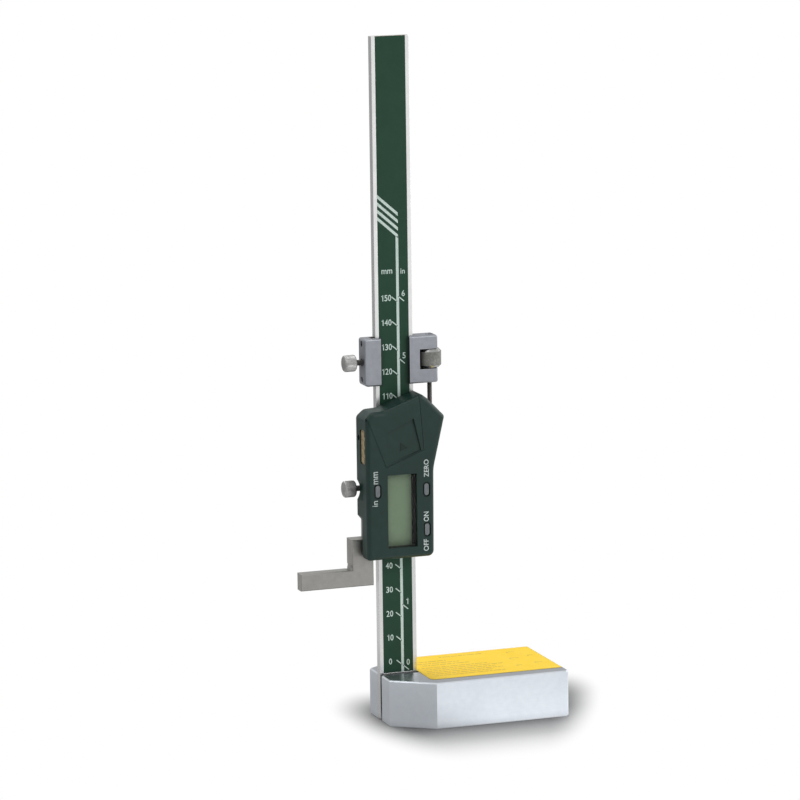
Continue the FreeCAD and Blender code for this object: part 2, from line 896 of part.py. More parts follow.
def display_holder():
    """Frame round the display, from the lens down to the board."""
    outer = display_box(holder_gap + holder_wall, cover_inner_front + lens_thick, board_front)
    inner = display_box(holder_gap, cover_inner_front, 0)
    rim = display_box(holder_gap, cover_inner_front + lens_thick, display_front)
    eye = display_box(-display_lap, cover_inner_front, 0)
    return outer.cut(inner).fuse(rim.cut(eye)).removeSplitter()


def display_connectors():
    strips = []
    low = jaw_bottom + window_bottom_above_jaw
    high = jaw_bottom + window_top_above_jaw
    for x in (window_left - display_lap, window_right + display_lap - connector_width):
        strips.append(block(x, x + connector_width, display_back, board_front, low, high))
    return Part.makeCompound(strips)


def push_button(name):
    x, z = button_places[name]
    flange_front = cover_inner_front + running_gap
    flange_back = flange_front + button_flange_thick
    cap = stadium(x, z, button_width, button_height, button_top, flange_back)
    flange_height = button_well_height - button_flange_gap
    flange = stadium(x, z, button_well_width, flange_height, flange_front, flange_back)
    stem_end = board_front - switch_thick - plunger_height - button_travel - lid_gap
    stem = along_y(x, flange_back - overlap, z, button_stem, stem_end - flange_back + overlap)
    return joined([cap, flange, stem])


def key_switches():
    switches = []
    half = switch_side / 2
    for x, z in button_places.values():
        body = block(x - half, x + half, board_front - switch_thick, board_front, z - half, z + half)
        plunger = along_y(x, board_front - switch_thick - plunger_height, z, plunger_diameter, plunger_height)
        switches.append(body.fuse(plunger).removeSplitter())
    return Part.makeCompound(switches)


def battery():
    z = jaw_bottom + battery_above_jaw
    body = along_y(battery_x, chamber_front + lid_gap, z, battery_diameter, battery_thick)
    return body.makeFillet(battery_edge, [edge for edge in body.Edges if len(edge.Vertexes) == 1])


def contact_slot():
    """Gap in the chamber's wall for the side contact."""
    z = jaw_bottom + battery_above_jaw
    x = battery_x + battery_diameter / 2
    half = contact_width / 2 + clearance
    return block(x, x + contact_slot_depth, chamber_back, board_front, z - half, z + half)


def battery_contacts():
    z = jaw_bottom + battery_above_jaw
    half = contact_width / 2
    side_x = battery_x + battery_diameter / 2
    top = chamber_back + contact_top_gap
    side = block(side_x, side_x + contact_thick, top, board_front, z - half, z + half)
    foot = block(side_x, side_x + contact_foot, board_front - contact_thick, board_front, z - half, z + half)
    back = chamber_front + lid_gap + battery_thick
    reach = battery_diameter / 3
    leaf = [
        (battery_x - reach, board_front),
        (battery_x - reach, board_front - contact_thick),
        (battery_x - reach / 2, board_front - contact_thick),
        (battery_x, back),
        (battery_x + reach / 2, back),
        (battery_x + reach / 2, back + contact_thick),
        (battery_x + contact_thick, back + contact_thick),
        (battery_x - reach / 2 + contact_thick, board_front),
    ]
    wire = closed_wire([Vector(x, y, z - half) for x, y in leaf])
    spring = Part.Face(wire).extrude(Vector(0, 0, contact_width))
    return Part.makeCompound([side.fuse(foot).removeSplitter(), spring])


def port_block(x0, x1):
    """Block of the data port's height and width, with rounded corners."""
    z = jaw_bottom + port_above_jaw
    body = block(x0, x1, port_front, port_back, z, z + port_length)
    corners = [edge for edge in body.Edges if edge_box(edge).XLength > same]
    return body.makeFillet(port_corner, corners)


def port_slot():
    return port_block(cover_left - past, cover_inner_left + overlap)


def port_contacts():
    """Contact carrier in the port slot, with four raised pads."""
    z = jaw_bottom + port_above_jaw
    left = cover_left + port_sink
    body = port_block(left + port_lip, left + port_depth)
    step = port_length / port_pads
    for i in range(port_pads):
        low = z + step * i + port_pad_edge
        high = z + step * (i + 1) - port_pad_edge
        front = port_front + port_pad_edge
        body = body.fuse(block(left, left + port_depth / 2, front, port_back - port_pad_edge, low, high))
    return body.removeSplitter()


def cover_screws():
    screws = []
    for x, z in cover_screw_places():
        tip = frame_front - cover_screw_depth
        seat = frame_back - cover_screw_head_height
        shank = along_y(x, tip, z, cover_screw_diameter, seat - tip)
        head = along_y(x, seat, z, cover_screw_head, cover_screw_head_height - head_sink)
        screw = shank.fuse(head).removeSplitter()
        slot_y = seat + cover_screw_head_height / 2
        long = cover_screw_slot_length / 2
        short = cover_screw_slot_width / 2
        for half_x, half_z in ((long, short), (short, long)):
            screw = screw.cut(block(x - half_x, x + half_x, slot_y, frame_back, z - half_z, z + half_z))
        screws.append(screw)
    return Part.makeCompound(screws)


def fine_rod():
    seat = jaw_bottom + rod_seat_above_jaw
    body = along_z(rod_x, screw_y, seat, rod_diameter, jaw_bottom + rod_top_above_jaw - seat)
    body = soften(body, rod_end_bevel, lambda edge: edge_box(edge).ZMin > seat + past)
    pin_z = jaw_bottom + pin_above_jaw
    return body.cut(along_y(rod_x, frame_front - past, pin_z, pin_diameter, frame_thick + 2 * past))


def rod_pin():
    length = frame_thick - 2 * head_sink
    return along_y(rod_x, frame_front + head_sink, jaw_bottom + pin_above_jaw, pin_diameter, length)


def rim_edges(body, y):
    """Edges that lie in the plane at depth y."""
    boxes = [(edge, edge_box(edge)) for edge in body.Edges]
    return [edge for edge, box in boxes if box.YLength < same and abs(box.YMin - y) < same]


def carriage_frame():
    bottom = carriage_bottom
    top = bottom + carriage_height
    outline = [
        (carriage_left, bottom, carriage_corner),
        (carriage_right, bottom, carriage_edge),
        (carriage_right, top, carriage_edge),
        (carriage_left, top, carriage_edge),
    ]
    body = rounded_plate(outline, frame_front, frame_back)
    body = body.makeFillet(carriage_front_round, rim_edges(body, frame_front))
    body = body.makeChamfer(carriage_rim, rim_edges(body, frame_back))
    body = body.cut(beam_channel(bottom - past, top + past))
    body = body.cut(block(carriage_window_left, carriage_window_right, frame_front - past, beam_back,
                          bottom - past, top + past))
    notch_z = bottom + notch_bottom
    body = body.cut(block(notch_left, carriage_right + past, frame_front - past, frame_back + past,
                          notch_z, notch_z + notch_height))
    body = body.cut(along_z(rod_x, screw_y, bottom - past, rod_hole_diameter, carriage_height + 2 * past))
    seat = top - rod_top_hole_depth
    body = body.cut(along_z(rod_x, screw_y, seat, rod_top_hole_diameter, rod_top_hole_depth + past))
    heights = [bottom + z for z in carriage_set_screws]
    body = wall_holes(body, carriage_left, heights, carriage_set_diameter, bottom + carriage_lock)
    return body.cut(along_x(carriage_left - past, screw_y, bottom + carriage_lock, carriage_lock_recess,
                            carriage_lock_recess_depth + past))


def fine_nut():
    notch_z = carriage_bottom + notch_bottom
    middle = notch_z + notch_height / 2
    body = knurled(nut_diameter, nut_height, nut_chamfer, nut_teeth, nut_tooth_depth)
    body.translate(Vector(rod_x, screw_y, middle - nut_height / 2))
    hub_length = notch_height - 2 * nut_end_gap
    hub = along_z(rod_x, screw_y, middle - hub_length / 2, nut_hub_diameter, hub_length)
    body = body.fuse(hub)
    bore = rod_diameter + 2 * nut_bore_gap
    return body.cut(along_z(rod_x, screw_y, notch_z - past, bore, notch_height + 2 * past))


def all_parts():
    frame_low = jaw_bottom + frame_bottom_above_jaw
    frame_high = jaw_bottom + frame_top_above_jaw
    carriage_high = carriage_bottom + carriage_height
    slider_screws = [set_screw(frame_left, jaw_bottom + z, set_screw_diameter, set_screw_sink)
                     for z in slider_set_above_jaw]
    carriage_screws = [set_screw(carriage_left, carriage_bottom + z, carriage_set_diameter,
                                 carriage_set_sink) for z in carriage_set_screws]
    parts = {
        "base_block": base_block(),
        "beam": beam(),
        "scale_circuit_strip": label_plate(label_front + label_thick, strip_thick),
        "scale_label": label_plate(label_front, label_thick),
        "base_label": base_label(),
        "beam_clamp_screws": clamp_screws(),
        "slider_frame": slider_frame(),
        "slider_gib": gib(frame_low + gib_end_gap, frame_high - gib_end_gap),
        "slider_gib_screws": Part.makeCompound(slider_screws),
        "slider_lock_screw": lock_screw(slider_lock_head, jaw_bottom + slider_lock_above_jaw),
        "cover_housing": cover_housing(),
        "cover_screws": cover_screws(),
        "window_lens": window_lens(),
        "display_panel": display_panel(),
        "display_holder": display_holder(),
        "display_connectors": display_connectors(),
        "circuit_board": circuit_board(),
        "key_switches": key_switches(),
        "battery": battery(),
        "battery_contacts": battery_contacts(),
        "battery_lid": battery_lid(),
        "data_port_contacts": port_contacts(),
        "fine_rod": fine_rod(),
        "fine_rod_pin": rod_pin(),
        "carriage_frame": carriage_frame(),
        "carriage_gib": gib(carriage_bottom + gib_end_gap / 2, carriage_high - gib_end_gap / 2),
        "carriage_gib_screws": Part.makeCompound(carriage_screws),
        "carriage_lock_screw": lock_screw(carriage_lock_head, carriage_bottom + carriage_lock),
        "fine_nut": fine_nut(),
    }
    for name in button_places:
        parts[name] = push_button(name)
    for name, shape in parts.items():
        if name not in ("base_block", "base_label"):
            shape.translate(beam_place)
    return parts


os.makedirs("parts", exist_ok=True)
for name, shape in all_parts().items():
    shape.exportStep("parts/" + name + ".step")
    print(name, len(shape.Solids), round(shape.Volume, 2), shape.isValid())
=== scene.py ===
# %% [markdown]
# # A small digital height gauge
# The gauge is a steel foot, an upright graduated beam and a slider with a jaw and a green display unit.
# All the solid pieces come ready from the CAD model. This file dresses them: it gives every piece its
# finish, adds what is printed on them and swaps the turned parts for ones with real knurls and threads.
# One could also model the whole gauge here, but then the moving pieces would no longer be sure to fit.

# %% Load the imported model
import math
import bmesh
import bpy
from mathutils import Matrix, Vector
from mathutils.bvhtree import BVHTree


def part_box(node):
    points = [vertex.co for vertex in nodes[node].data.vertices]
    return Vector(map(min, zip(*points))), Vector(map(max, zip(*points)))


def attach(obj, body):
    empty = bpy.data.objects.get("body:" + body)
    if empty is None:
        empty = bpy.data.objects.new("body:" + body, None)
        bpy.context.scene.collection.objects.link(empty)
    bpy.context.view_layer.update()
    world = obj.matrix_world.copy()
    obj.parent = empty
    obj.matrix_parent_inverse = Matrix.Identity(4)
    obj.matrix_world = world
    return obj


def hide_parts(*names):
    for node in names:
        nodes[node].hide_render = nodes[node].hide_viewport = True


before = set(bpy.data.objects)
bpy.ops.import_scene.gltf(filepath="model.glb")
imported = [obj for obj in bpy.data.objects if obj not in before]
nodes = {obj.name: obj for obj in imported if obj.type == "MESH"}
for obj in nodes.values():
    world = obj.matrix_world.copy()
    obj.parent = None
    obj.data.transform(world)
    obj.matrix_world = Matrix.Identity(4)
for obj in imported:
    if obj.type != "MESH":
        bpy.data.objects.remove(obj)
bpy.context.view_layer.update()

mm = 0.001

# %% [markdown]
# ## Camera
# The photograph was taken from about 1.8 m away with a long lens, so the upright edges stay nearly
# parallel. Its place was found by matching the printed scale, whose spacing is known. A camera can be
# aimed with a Track To constraint, but three plain angles say exactly where it looks and how it tilts.

# %% Camera at the photograph's place
camera_place = Vector((-599.22, -1625.3, 436.1)) * mm
turn_right = math.radians(19.412)
look_down = math.radians(10.002)
tilt = math.radians(-0.782)


def in_scene(name, data):
    """A new object with this data, put in the scene."""
    made = bpy.data.objects.new(name, data)
    bpy.context.scene.collection.objects.link(made)
    return made


camera_data = bpy.data.cameras.new("camera")
camera_data.sensor_width = 36.0
camera_data.lens = 194.66
camera_data.clip_end = 50.0
camera = in_scene("camera", camera_data)
camera.matrix_world = (
    Matrix.Translation(camera_place)
    @ Matrix.Rotation(-turn_right, 4, "Z")
    @ Matrix.Rotation(math.pi / 2 - look_down, 4, "X")
    @ Matrix.Rotation(tilt, 4, "Z")
)
bpy.context.scene.camera = camera
bpy.context.scene.view_settings.view_transform = "Standard"
print("camera at", [round(c, 3) for c in camera_place])

# %% [markdown]
# ## Node helpers
# A finish is a small graph of nodes. Adding nodes by hand takes many clicks, and in a script many lines,
# so short helpers do it: one adds a node with its settings, one reckons with values, one starts a new
# material, two mix colours or values, and one puts a material on a piece. Colours are written as linear
# light, not as screen values.

# %% Helpers for nodes and materials
def add(tree, kind, values=None, **settings):
    """A new node. values sets its inputs by name or number, and settings sets its own options."""
    made = tree.nodes.new(kind)
    for key, value in settings.items():
        setattr(made, key, value)
    for key, value in (values or {}).items():
        if isinstance(value, bpy.types.NodeSocket):
            tree.links.new(value, made.inputs[key])
        else:
            made.inputs[key].default_value = value
    return made


def maths(tree, operation, *values, clamp=False):
    """The result of one operation on sockets or numbers, kept from 0 to 1 if clamp is set."""
    made = add(tree, "ShaderNodeMath", dict(enumerate(values)), operation=operation, use_clamp=clamp)
    return made.outputs[0]


def start_material(name, **values):
    """A material with a Principled shader, whose sockets are set by their names."""
    material = bpy.data.materials.new(name)
    material.use_nodes = True
    tree = material.node_tree
    shader = tree.nodes["Principled BSDF"]
    for key, value in values.items():
        shader.inputs[key.replace("_", " ")].default_value = value
    return material, tree, shader


def two_colours(tree, share, low, high):
    """Colour between low and high, mixed by share."""
    mix = add(tree, "ShaderNodeMix", {0: share}, data_type="RGBA")
    mix.inputs[6].default_value = low
    mix.inputs[7].default_value = high
    return mix.outputs[2]


def between(tree, share, low, high):
    """Value between low and high, by a share from 0 to 1."""
    made = add(tree, "ShaderNodeMapRange", {"Value": share, "To Min": low, "To Max": high})
    return made.outputs["Result"]


def dress(node, material):
    """Puts one material on every face of a piece."""
    data = nodes[node].data
    data.materials.clear()
    data.materials.append(material)


print("helpers for nodes and materials are ready")

# %% [markdown]
# ## Shared effect: grinding lines
# Ground steel shows fine scratches that all run one way. They could be painted as an image, but a noise
# that is stretched along one axis gives the same look at any distance, and it goes round corners. The
# group takes how many lines there are per metre along each axis. It puts out a value for colour and
# roughness, and a normal.

# %% Node group: grinding lines
def start_group(name, inputs, outputs):
    """A node group with its named sockets. inputs holds (name, kind, value)."""
    group = bpy.data.node_groups.new(name, "ShaderNodeTree")
    for label, kind, value in inputs:
        socket = group.interface.new_socket(label, in_out="INPUT", socket_type=kind)
        socket.default_value = value
    for label, kind in outputs:
        group.interface.new_socket(label, in_out="OUTPUT", socket_type=kind)
    return group, add(group, "NodeGroupInput"), add(group, "NodeGroupOutput")


NUMBER = "NodeSocketFloat"
DIRECTION = "NodeSocketVector"


def make_grinding_lines():
    """Lines that run one way, as a value and as a bump."""
    group, given, result = start_group(
        "Grinding lines",
        [("Lines per metre", DIRECTION, (1000.0, 1000.0, 1000.0)), ("Depth", NUMBER, 0.1)],
        [("Lines", NUMBER), ("Normal", DIRECTION)],
    )
    place = add(group, "ShaderNodeTexCoord")
    stretched = add(group, "ShaderNodeVectorMath", {0: place.outputs["Object"], 1: given.outputs[0]},
                    operation="MULTIPLY")
    noise = add(group, "ShaderNodeTexNoise", {"Vector": stretched.outputs[0], "Scale": 1.0, "Detail": 5.0,
                                              "Roughness": 0.6})
    bump = add(group, "ShaderNodeBump", {"Strength": given.outputs[1], "Distance": 0.02 * mm,
                                         "Height": noise.outputs[0]})
    group.links.new(noise.outputs[0], result.inputs["Lines"])
    group.links.new(bump.outputs[0], result.inputs["Normal"])
    return group


grinding_lines = make_grinding_lines()
print(grinding_lines.name, "has", len(grinding_lines.nodes), "nodes")

# %% [markdown]
# ## Shared effect: cloudy patches
# No real surface is even: handling leaves cloudy patches that differ a little in colour and gloss. Two
# noises of different sizes, added together, look like that. The patches have a size in metres, so they
# keep their scale on large and small pieces.

# %% Node group: cloudy patches
def make_cloudy_patches():
    """Two noises of different sizes, added and spread round a half."""
    group, given, result = start_group(
        "Cloudy patches",
        [("Patches per metre", NUMBER, 60.0), ("Contrast", NUMBER, 1.0)],
        [("Share", NUMBER)],
    )
    place = add(group, "ShaderNodeTexCoord")
    large = add(group, "ShaderNodeTexNoise", {"Vector": place.outputs["Object"], "Scale": given.outputs[0],
                                              "Detail": 3.0})
    finer = maths(group, "MULTIPLY", given.outputs[0], 7.0)
    small = add(group, "ShaderNodeTexNoise", {"Vector": place.outputs["Object"], "Scale": finer,
                                              "Detail": 2.0})
    centred = maths(group, "SUBTRACT", maths(group, "ADD", large.outputs[0], small.outputs[0]), 1.0)
    share = maths(group, "ADD", maths(group, "MULTIPLY", centred, given.outputs[1]), 0.5, clamp=True)
    group.links.new(share, result.inputs["Share"])
    return group


cloudy_patches = make_cloudy_patches()
print(cloudy_patches.name, "has", len(cloudy_patches.nodes), "nodes")

# %% [markdown]
# ## Shared effect: worn edges
# Edges of steel get bright, and those of plastic get polished. The Bevel node rounds the normals near an
# edge. Where its normal differs from the plain one there is an edge, so the difference is the mask. The
# geometry's pointiness could serve too, but it needs a very fine mesh.

# %% Node group: worn edges
def make_worn_edges():
    """High where the rounded normal differs from the plain one."""
    group, given, result = start_group(
        "Worn edges",
        [("Width", NUMBER, 0.3 * mm), ("Sharpness", NUMBER, 6.0)],
        [("Share", NUMBER)],
    )
    rounded = add(group, "ShaderNodeBevel", {"Radius": given.outputs[0]}, samples=4)
    plain = add(group, "ShaderNodeNewGeometry")
    same = add(group, "ShaderNodeVectorMath", {0: rounded.outputs[0], 1: plain.outputs["Normal"]},
               operation="DOT_PRODUCT")
    differ = maths(group, "SUBTRACT", 1.0, same.outputs["Value"])
    share = maths(group, "MULTIPLY", differ, given.outputs[1], clamp=True)
    group.links.new(share, result.inputs["Share"])
    return group


worn_edges = make_worn_edges()
print(worn_edges.name, "has", len(worn_edges.nodes), "nodes")

# %% [markdown]
# ## Shared effect: fine grain
# Moulded plastic, rubber and sand-blasted metal have a fine even grain. A small noise as bump is enough,
# because the grain is too small to see singly and only breaks up the gloss.

# %% Node group: fine grain
def make_fine_grain():
    """An even noise, as a value and as a bump."""
    group, given, result = start_group(
        "Fine grain",
        [("Grains per metre", NUMBER, 3000.0), ("Depth", NUMBER, 0.15)],
        [("Grain", NUMBER), ("Normal", DIRECTION)],
    )
    place = add(group, "ShaderNodeTexCoord")
    noise = add(group, "ShaderNodeTexNoise", {"Vector": place.outputs["Object"], "Scale": given.outputs[0],
                                              "Detail": 2.0})
    bump = add(group, "ShaderNodeBump", {"Strength": given.outputs[1], "Distance": 0.03 * mm,
                                         "Height": noise.outputs[0]})
    group.links.new(noise.outputs[0], result.inputs["Grain"])
    group.links.new(bump.outputs[0], result.inputs["Normal"])
    return group


fine_grain = make_fine_grain()


def put(tree, group, **values):
    """Places a shared group in a material. Underscores in the names stand for spaces."""
    made = add(tree, "ShaderNodeGroup", node_tree=group)
    for key, value in values.items():
        made.inputs[key.replace("_", " ")].default_value = value
    return made


print(fine_grain.name, "has", len(fine_grain.nodes), "nodes")

# %% [markdown]
# ## Shared effect: painted corner shade
# Seams and inner corners get a painted shade, darker than open faces, as shade falls there. The Ambient
# Occlusion node measures how shut in a point is, within a short reach. Painting each corner by hand would
# do as well, but it would have to be done again when a size changes.

# %% Node group: painted corner shade
def make_dark_corners():
    """Low where other faces are near, as a painted shade in corners."""
    group, given, result = start_group(
        "Painted corner shade",
        [("Reach", NUMBER, 2.0 * mm), ("Darkness", NUMBER, 0.6)],
        [("Light", NUMBER)],
    )
    shut_in = add(group, "ShaderNodeAmbientOcclusion", {"Distance": given.outputs[0]}, samples=8)
    closed = maths(group, "SUBTRACT", 1.0, shut_in.outputs["AO"])
    loss = maths(group, "MULTIPLY", closed, given.outputs[1])
    light = maths(group, "SUBTRACT", 1.0, loss, clamp=True)
    group.links.new(light, result.inputs["Light"])
    return group


painted_corner_shade = make_dark_corners()


def darken_corners(tree, colour, reach, darkness):
    """The colour with a painted shade where other faces are near."""
    corners = put(tree, painted_corner_shade, Reach=reach, Darkness=darkness)
    made = add(tree, "ShaderNodeMix", {0: 1.0, 6: colour, 7: corners.outputs["Light"]}, data_type="RGBA",
               blend_type="MULTIPLY")
    return made.outputs[2]


print(painted_corner_shade.name, "has", len(painted_corner_shade.nodes), "nodes")

# %% [markdown]
# ## Steel finishes
# All the bare steel here is ground: the foot and the beam finely, the slider and the carriage to a duller
# satin. It is one recipe with other numbers. Lines change the roughness a little, patches change the colour,
# and worn edges are brighter and smoother. Some faces and the corners get a painted shade. A metal's base
# colour is how much it reflects.

# %% Recipe for ground steel
def ground_steel(name, dark, bright, lines, rough, depth=0.1, patches=60.0, edge=(0.95, 0.96, 0.97, 1.0),
                 corners=0.6, shaded_axes=()):
    """Ground steel between two colours. lines is the count of lines per metre along each axis.
    Faces that look along the listed axes get a painted shade, each darker by its share, and corners sets how
    dark the painted shade in seams and inner corners is."""
    material, tree, shader = start_material(name, Metallic=1.0)
    scratches = put(tree, grinding_lines, Lines_per_metre=lines, Depth=depth)
    clouds = put(tree, cloudy_patches, Patches_per_metre=patches, Contrast=1.3)
    edges = put(tree, worn_edges, Width=0.35 * mm, Sharpness=3.0)
    both = maths(tree, "ADD", scratches.outputs["Lines"], clouds.outputs["Share"])
    half = maths(tree, "MULTIPLY", both, 0.5, clamp=True)
    steel = two_colours(tree, half, dark, bright)
    # Painted shade: faces that look along these axes are darker by their share.
    for axis, share in shaded_axes:
        facing = add(tree, "ShaderNodeSeparateXYZ", {0: add(tree, "ShaderNodeNewGeometry").outputs["Normal"]})
        shade = add(tree, "ShaderNodeMapRange", {"Value": facing.outputs[axis], "From Min": 0.8,
                                                 "To Min": 1.0, "To Max": 1.0 - share})
        steel = add(tree, "ShaderNodeVectorMath", {0: steel, 1: shade.outputs["Result"]},
                    operation="MULTIPLY").outputs[0]
    mix = add(tree, "ShaderNodeMix", {0: edges.outputs[0], 6: steel}, data_type="RGBA")
    mix.inputs[7].default_value = edge
    rub = between(tree, half, rough * 1.15, rough * 0.85)
    # Seams and inner corners get a painted shade, as dark as corners says.
    tree.links.new(darken_corners(tree, mix.outputs[2], 3.0 * mm, corners), shader.inputs["Base Color"])
    tree.links.new(rub, shader.inputs["Roughness"])
    tree.links.new(scratches.outputs["Normal"], shader.inputs["Normal"])
    return material


along_x = (60.0, 4000.0, 4000.0)
along_z = (4000.0, 4000.0, 50.0)
dress("base_block", ground_steel("ground_base", (0.75, 0.80, 0.87, 1), (0.89, 0.945, 1.0, 1), along_x, 0.34,
                                 corners=0.35, shaded_axes=(("Z", 0.4),)))
dress("beam", ground_steel("ground_beam", (0.76, 0.77, 0.76, 1), (0.94, 0.95, 0.94, 1), along_z, 0.28,
                           corners=0.5, shaded_axes=(("X", 0.5), ("Y", 0.25))))
satin_edge = (0.62, 0.62, 0.61, 1)
dress("slider_frame", ground_steel("satin_slider", (0.345, 0.34, 0.32, 1), (0.50, 0.49, 0.465, 1),
                                   (500.0, 2500.0, 2500.0), 0.40, edge=satin_edge, corners=0.85))
dress("carriage_frame", ground_steel("satin_carriage", (0.30, 0.315, 0.345, 1), (0.445, 0.465, 0.51, 1),
                                     (2500.0, 2500.0, 700.0), 0.42, depth=0.2, edge=satin_edge, corners=0.85))
print("ground steel on the foot, the beam, the slider and the carriage")

# %% [markdown]
# ## Small metal pieces
# Screws are blackened steel, gibs are bronze, contacts are gilded, and the cell is bright nickel. Most of
# them are hidden in use, and one grey could serve for all. But a look inside or from behind shows them,
# so each has its own finish from one recipe.

# %% Recipe for other metals
def plain_metal(name, dark, bright, rough, patches=200.0, grain=4000.0, metallic=1.0):
    """Metal with cloudy patches and a fine grain, brighter on its edges."""
    material, tree, shader = start_material(name, Metallic=metallic)
    clouds = put(tree, cloudy_patches, Patches_per_metre=patches, Contrast=1.4)
    texture = put(tree, fine_grain, Grains_per_metre=grain, Depth=0.1)
    edges = put(tree, worn_edges, Width=0.12 * mm, Sharpness=2.0)
    share = maths(tree, "MAXIMUM", clouds.outputs[0], edges.outputs[0])
    tree.links.new(two_colours(tree, share, dark, bright), shader.inputs["Base Color"])
    tree.links.new(between(tree, clouds.outputs[0], rough * 1.2, rough * 0.8), shader.inputs["Roughness"])
    tree.links.new(texture.outputs["Normal"], shader.inputs["Normal"])
    return material


dark_screw = plain_metal("dark_screw", (0.035, 0.035, 0.04, 1), (0.10, 0.10, 0.11, 1), 0.38)
for node in ("beam_clamp_screws", "slider_gib_screws", "carriage_gib_screws", "cover_screws", "fine_rod_pin"):
    dress(node, dark_screw)
bronze = plain_metal("gib_bronze", (0.42, 0.26, 0.12, 1), (0.70, 0.48, 0.26, 1), 0.35)
dress("slider_gib", bronze)
dress("carriage_gib", bronze)
dress("battery", plain_metal("cell_steel", (0.62, 0.62, 0.60, 1), (0.82, 0.82, 0.80, 1), 0.22))
dress("battery_contacts", plain_metal("contact_gold", (0.62, 0.46, 0.20, 1), (0.86, 0.68, 0.34, 1), 0.28))
dress("key_switches", plain_metal("switch_metal", (0.42, 0.42, 0.42, 1), (0.66, 0.66, 0.66, 1), 0.35))
dark_rod = plain_metal("dark_rod", (0.035, 0.033, 0.033, 1), (0.12, 0.115, 0.11, 1), 0.45, metallic=0.5)
knurled_chrome = plain_metal("knurled_chrome", (0.36, 0.36, 0.355, 1), (0.63, 0.63, 0.62, 1), 0.44)
nut_steel = plain_metal("nut_steel", (0.175, 0.175, 0.162, 1), (0.33, 0.33, 0.308, 1), 0.36)
nut_ends = plain_metal("nut_ends", (0.34, 0.35, 0.34, 1), (0.60, 0.61, 0.59, 1), 0.26)
print("metals of the small pieces are set")

# %% [markdown]
# ## Plastics
# The cover is moulded in a very dark green, and what lightens it is the sheen of its fine grain. Real
# moulded covers have such a grain because it hides finger marks. Buttons are a softer grey plastic, and
# the black frame and rubber strips sit out of sight round the display. They could each have a graph of
# their own, but moulded plastics differ only in colour, grain and gloss, so one recipe makes them all.

# %% Recipe for plastics
def moulded(name, dark, light, rough, grains=3500.0, depth=0.25, patches=45.0, polish=0.1, gloss=0.35):
    """Moulded plastic with grain, faint patches, slightly polished edges and a painted shade in its corners.
    """
    material, tree, shader = start_material(name, Metallic=0.0, Specular_IOR_Level=gloss)
    clouds = put(tree, cloudy_patches, Patches_per_metre=patches, Contrast=1.2)
    texture = put(tree, fine_grain, Grains_per_metre=grains, Depth=depth)
    edges = put(tree, worn_edges, Width=0.4 * mm, Sharpness=2.0)
    share = maths(tree, "MULTIPLY_ADD", edges.outputs[0], 0.35, clouds.outputs[0], clamp=True)
    rub = maths(tree, "MULTIPLY_ADD", edges.outputs[0], -polish,
                between(tree, clouds.outputs[0], rough * 1.1, rough * 0.9))
    plain = two_colours(tree, share, dark, light)
    # Seams and inner corners get a painted shade.
    tree.links.new(darken_corners(tree, plain, 1.5 * mm, 0.7), shader.inputs["Base Color"])
    tree.links.new(rub, shader.inputs["Roughness"])
    tree.links.new(texture.outputs["Normal"], shader.inputs["Normal"])
    return material


dress("cover_housing", moulded("green_cover", (0.0058, 0.029, 0.0225, 1), (0.009, 0.040, 0.032, 1), 0.42,
                               gloss=0.45))
dress("battery_lid", moulded("green_lid", (0.0067, 0.031, 0.0235, 1), (0.010, 0.042, 0.033, 1), 0.46,
                             gloss=0.45))
button_grey = moulded("button_rubber", (0.18, 0.20, 0.21, 1), (0.25, 0.27, 0.28, 1), 0.48)
for node in ("button_units", "button_zero", "button_power"):
    dress(node, button_grey)
dress("display_holder", moulded("black_carrier", (0.010, 0.010, 0.010, 1), (0.020, 0.020, 0.020, 1), 0.55))
dress("display_connectors", moulded("black_rubber", (0.008, 0.008, 0.008, 1), (0.02, 0.02, 0.02, 1), 0.75,
                                    polish=0.0))
print("plastics are set")

# %% [markdown]
# ## Printed films, boards and the display
# The scale label and the label on the foot are printed films with a soft gloss. The display is a grey
# green reflective plate behind a clear window. A fully transmitting window would dim it with its shadow,
# so the window is a thin, nearly clear layer with its own gloss, by a low alpha.

# %% Films, boards, display and window
def film(name, dark, light, rough, patches=25.0, gloss=0.35):
    """Printed film: nearly even colour, a soft gloss with a faint wave, and a painted shade near other faces.
    """
    material, tree, shader = start_material(name, Metallic=0.0, Specular_IOR_Level=gloss)
    clouds = put(tree, cloudy_patches, Patches_per_metre=patches, Contrast=1.0)
    wave = put(tree, fine_grain, Grains_per_metre=500.0, Depth=0.08)
    even = two_colours(tree, clouds.outputs[0], dark, light)
    # Near other faces the print gets a painted shade.
    tree.links.new(darken_corners(tree, even, 3.0 * mm, 0.7), shader.inputs["Base Color"])
    tree.links.new(between(tree, clouds.outputs[0], rough * 1.1, rough * 0.9), shader.inputs["Roughness"])
    tree.links.new(wave.outputs["Normal"], shader.inputs["Normal"])
    return material


dress("scale_label", film("green_print", (0.007, 0.053, 0.026, 1), (0.012, 0.068, 0.035, 1), 0.42))
dress("base_label", film("yellow_film", (0.88, 0.58, 0.020, 1), (0.94, 0.65, 0.035, 1), 0.5, gloss=0.1))


def laminate(name, base, copper, tracks, width):
    """Circuit board: a base colour with rows of copper or tracks that follow X and Z."""
    material, tree, shader = start_material(name, Metallic=0.0, Roughness=0.42)
    place = add(tree, "ShaderNodeTexCoord")
    upright = add(tree, "ShaderNodeMapping", {"Vector": place.outputs["Object"],
                                              "Rotation": (math.radians(90), 0, math.radians(90))})
    bricks = add(tree, "ShaderNodeTexBrick", {"Vector": upright.outputs[0], "Scale": tracks,
                                              "Mortar Size": width, "Brick Width": 0.9, "Row Height": 0.3})
    clouds = put(tree, cloudy_patches, Patches_per_metre=90.0, Contrast=0.8)
    share = maths(tree, "MULTIPLY", bricks.outputs["Fac"], clouds.outputs[0])
    tree.links.new(two_colours(tree, share, base, copper), shader.inputs["Base Color"])
    return material


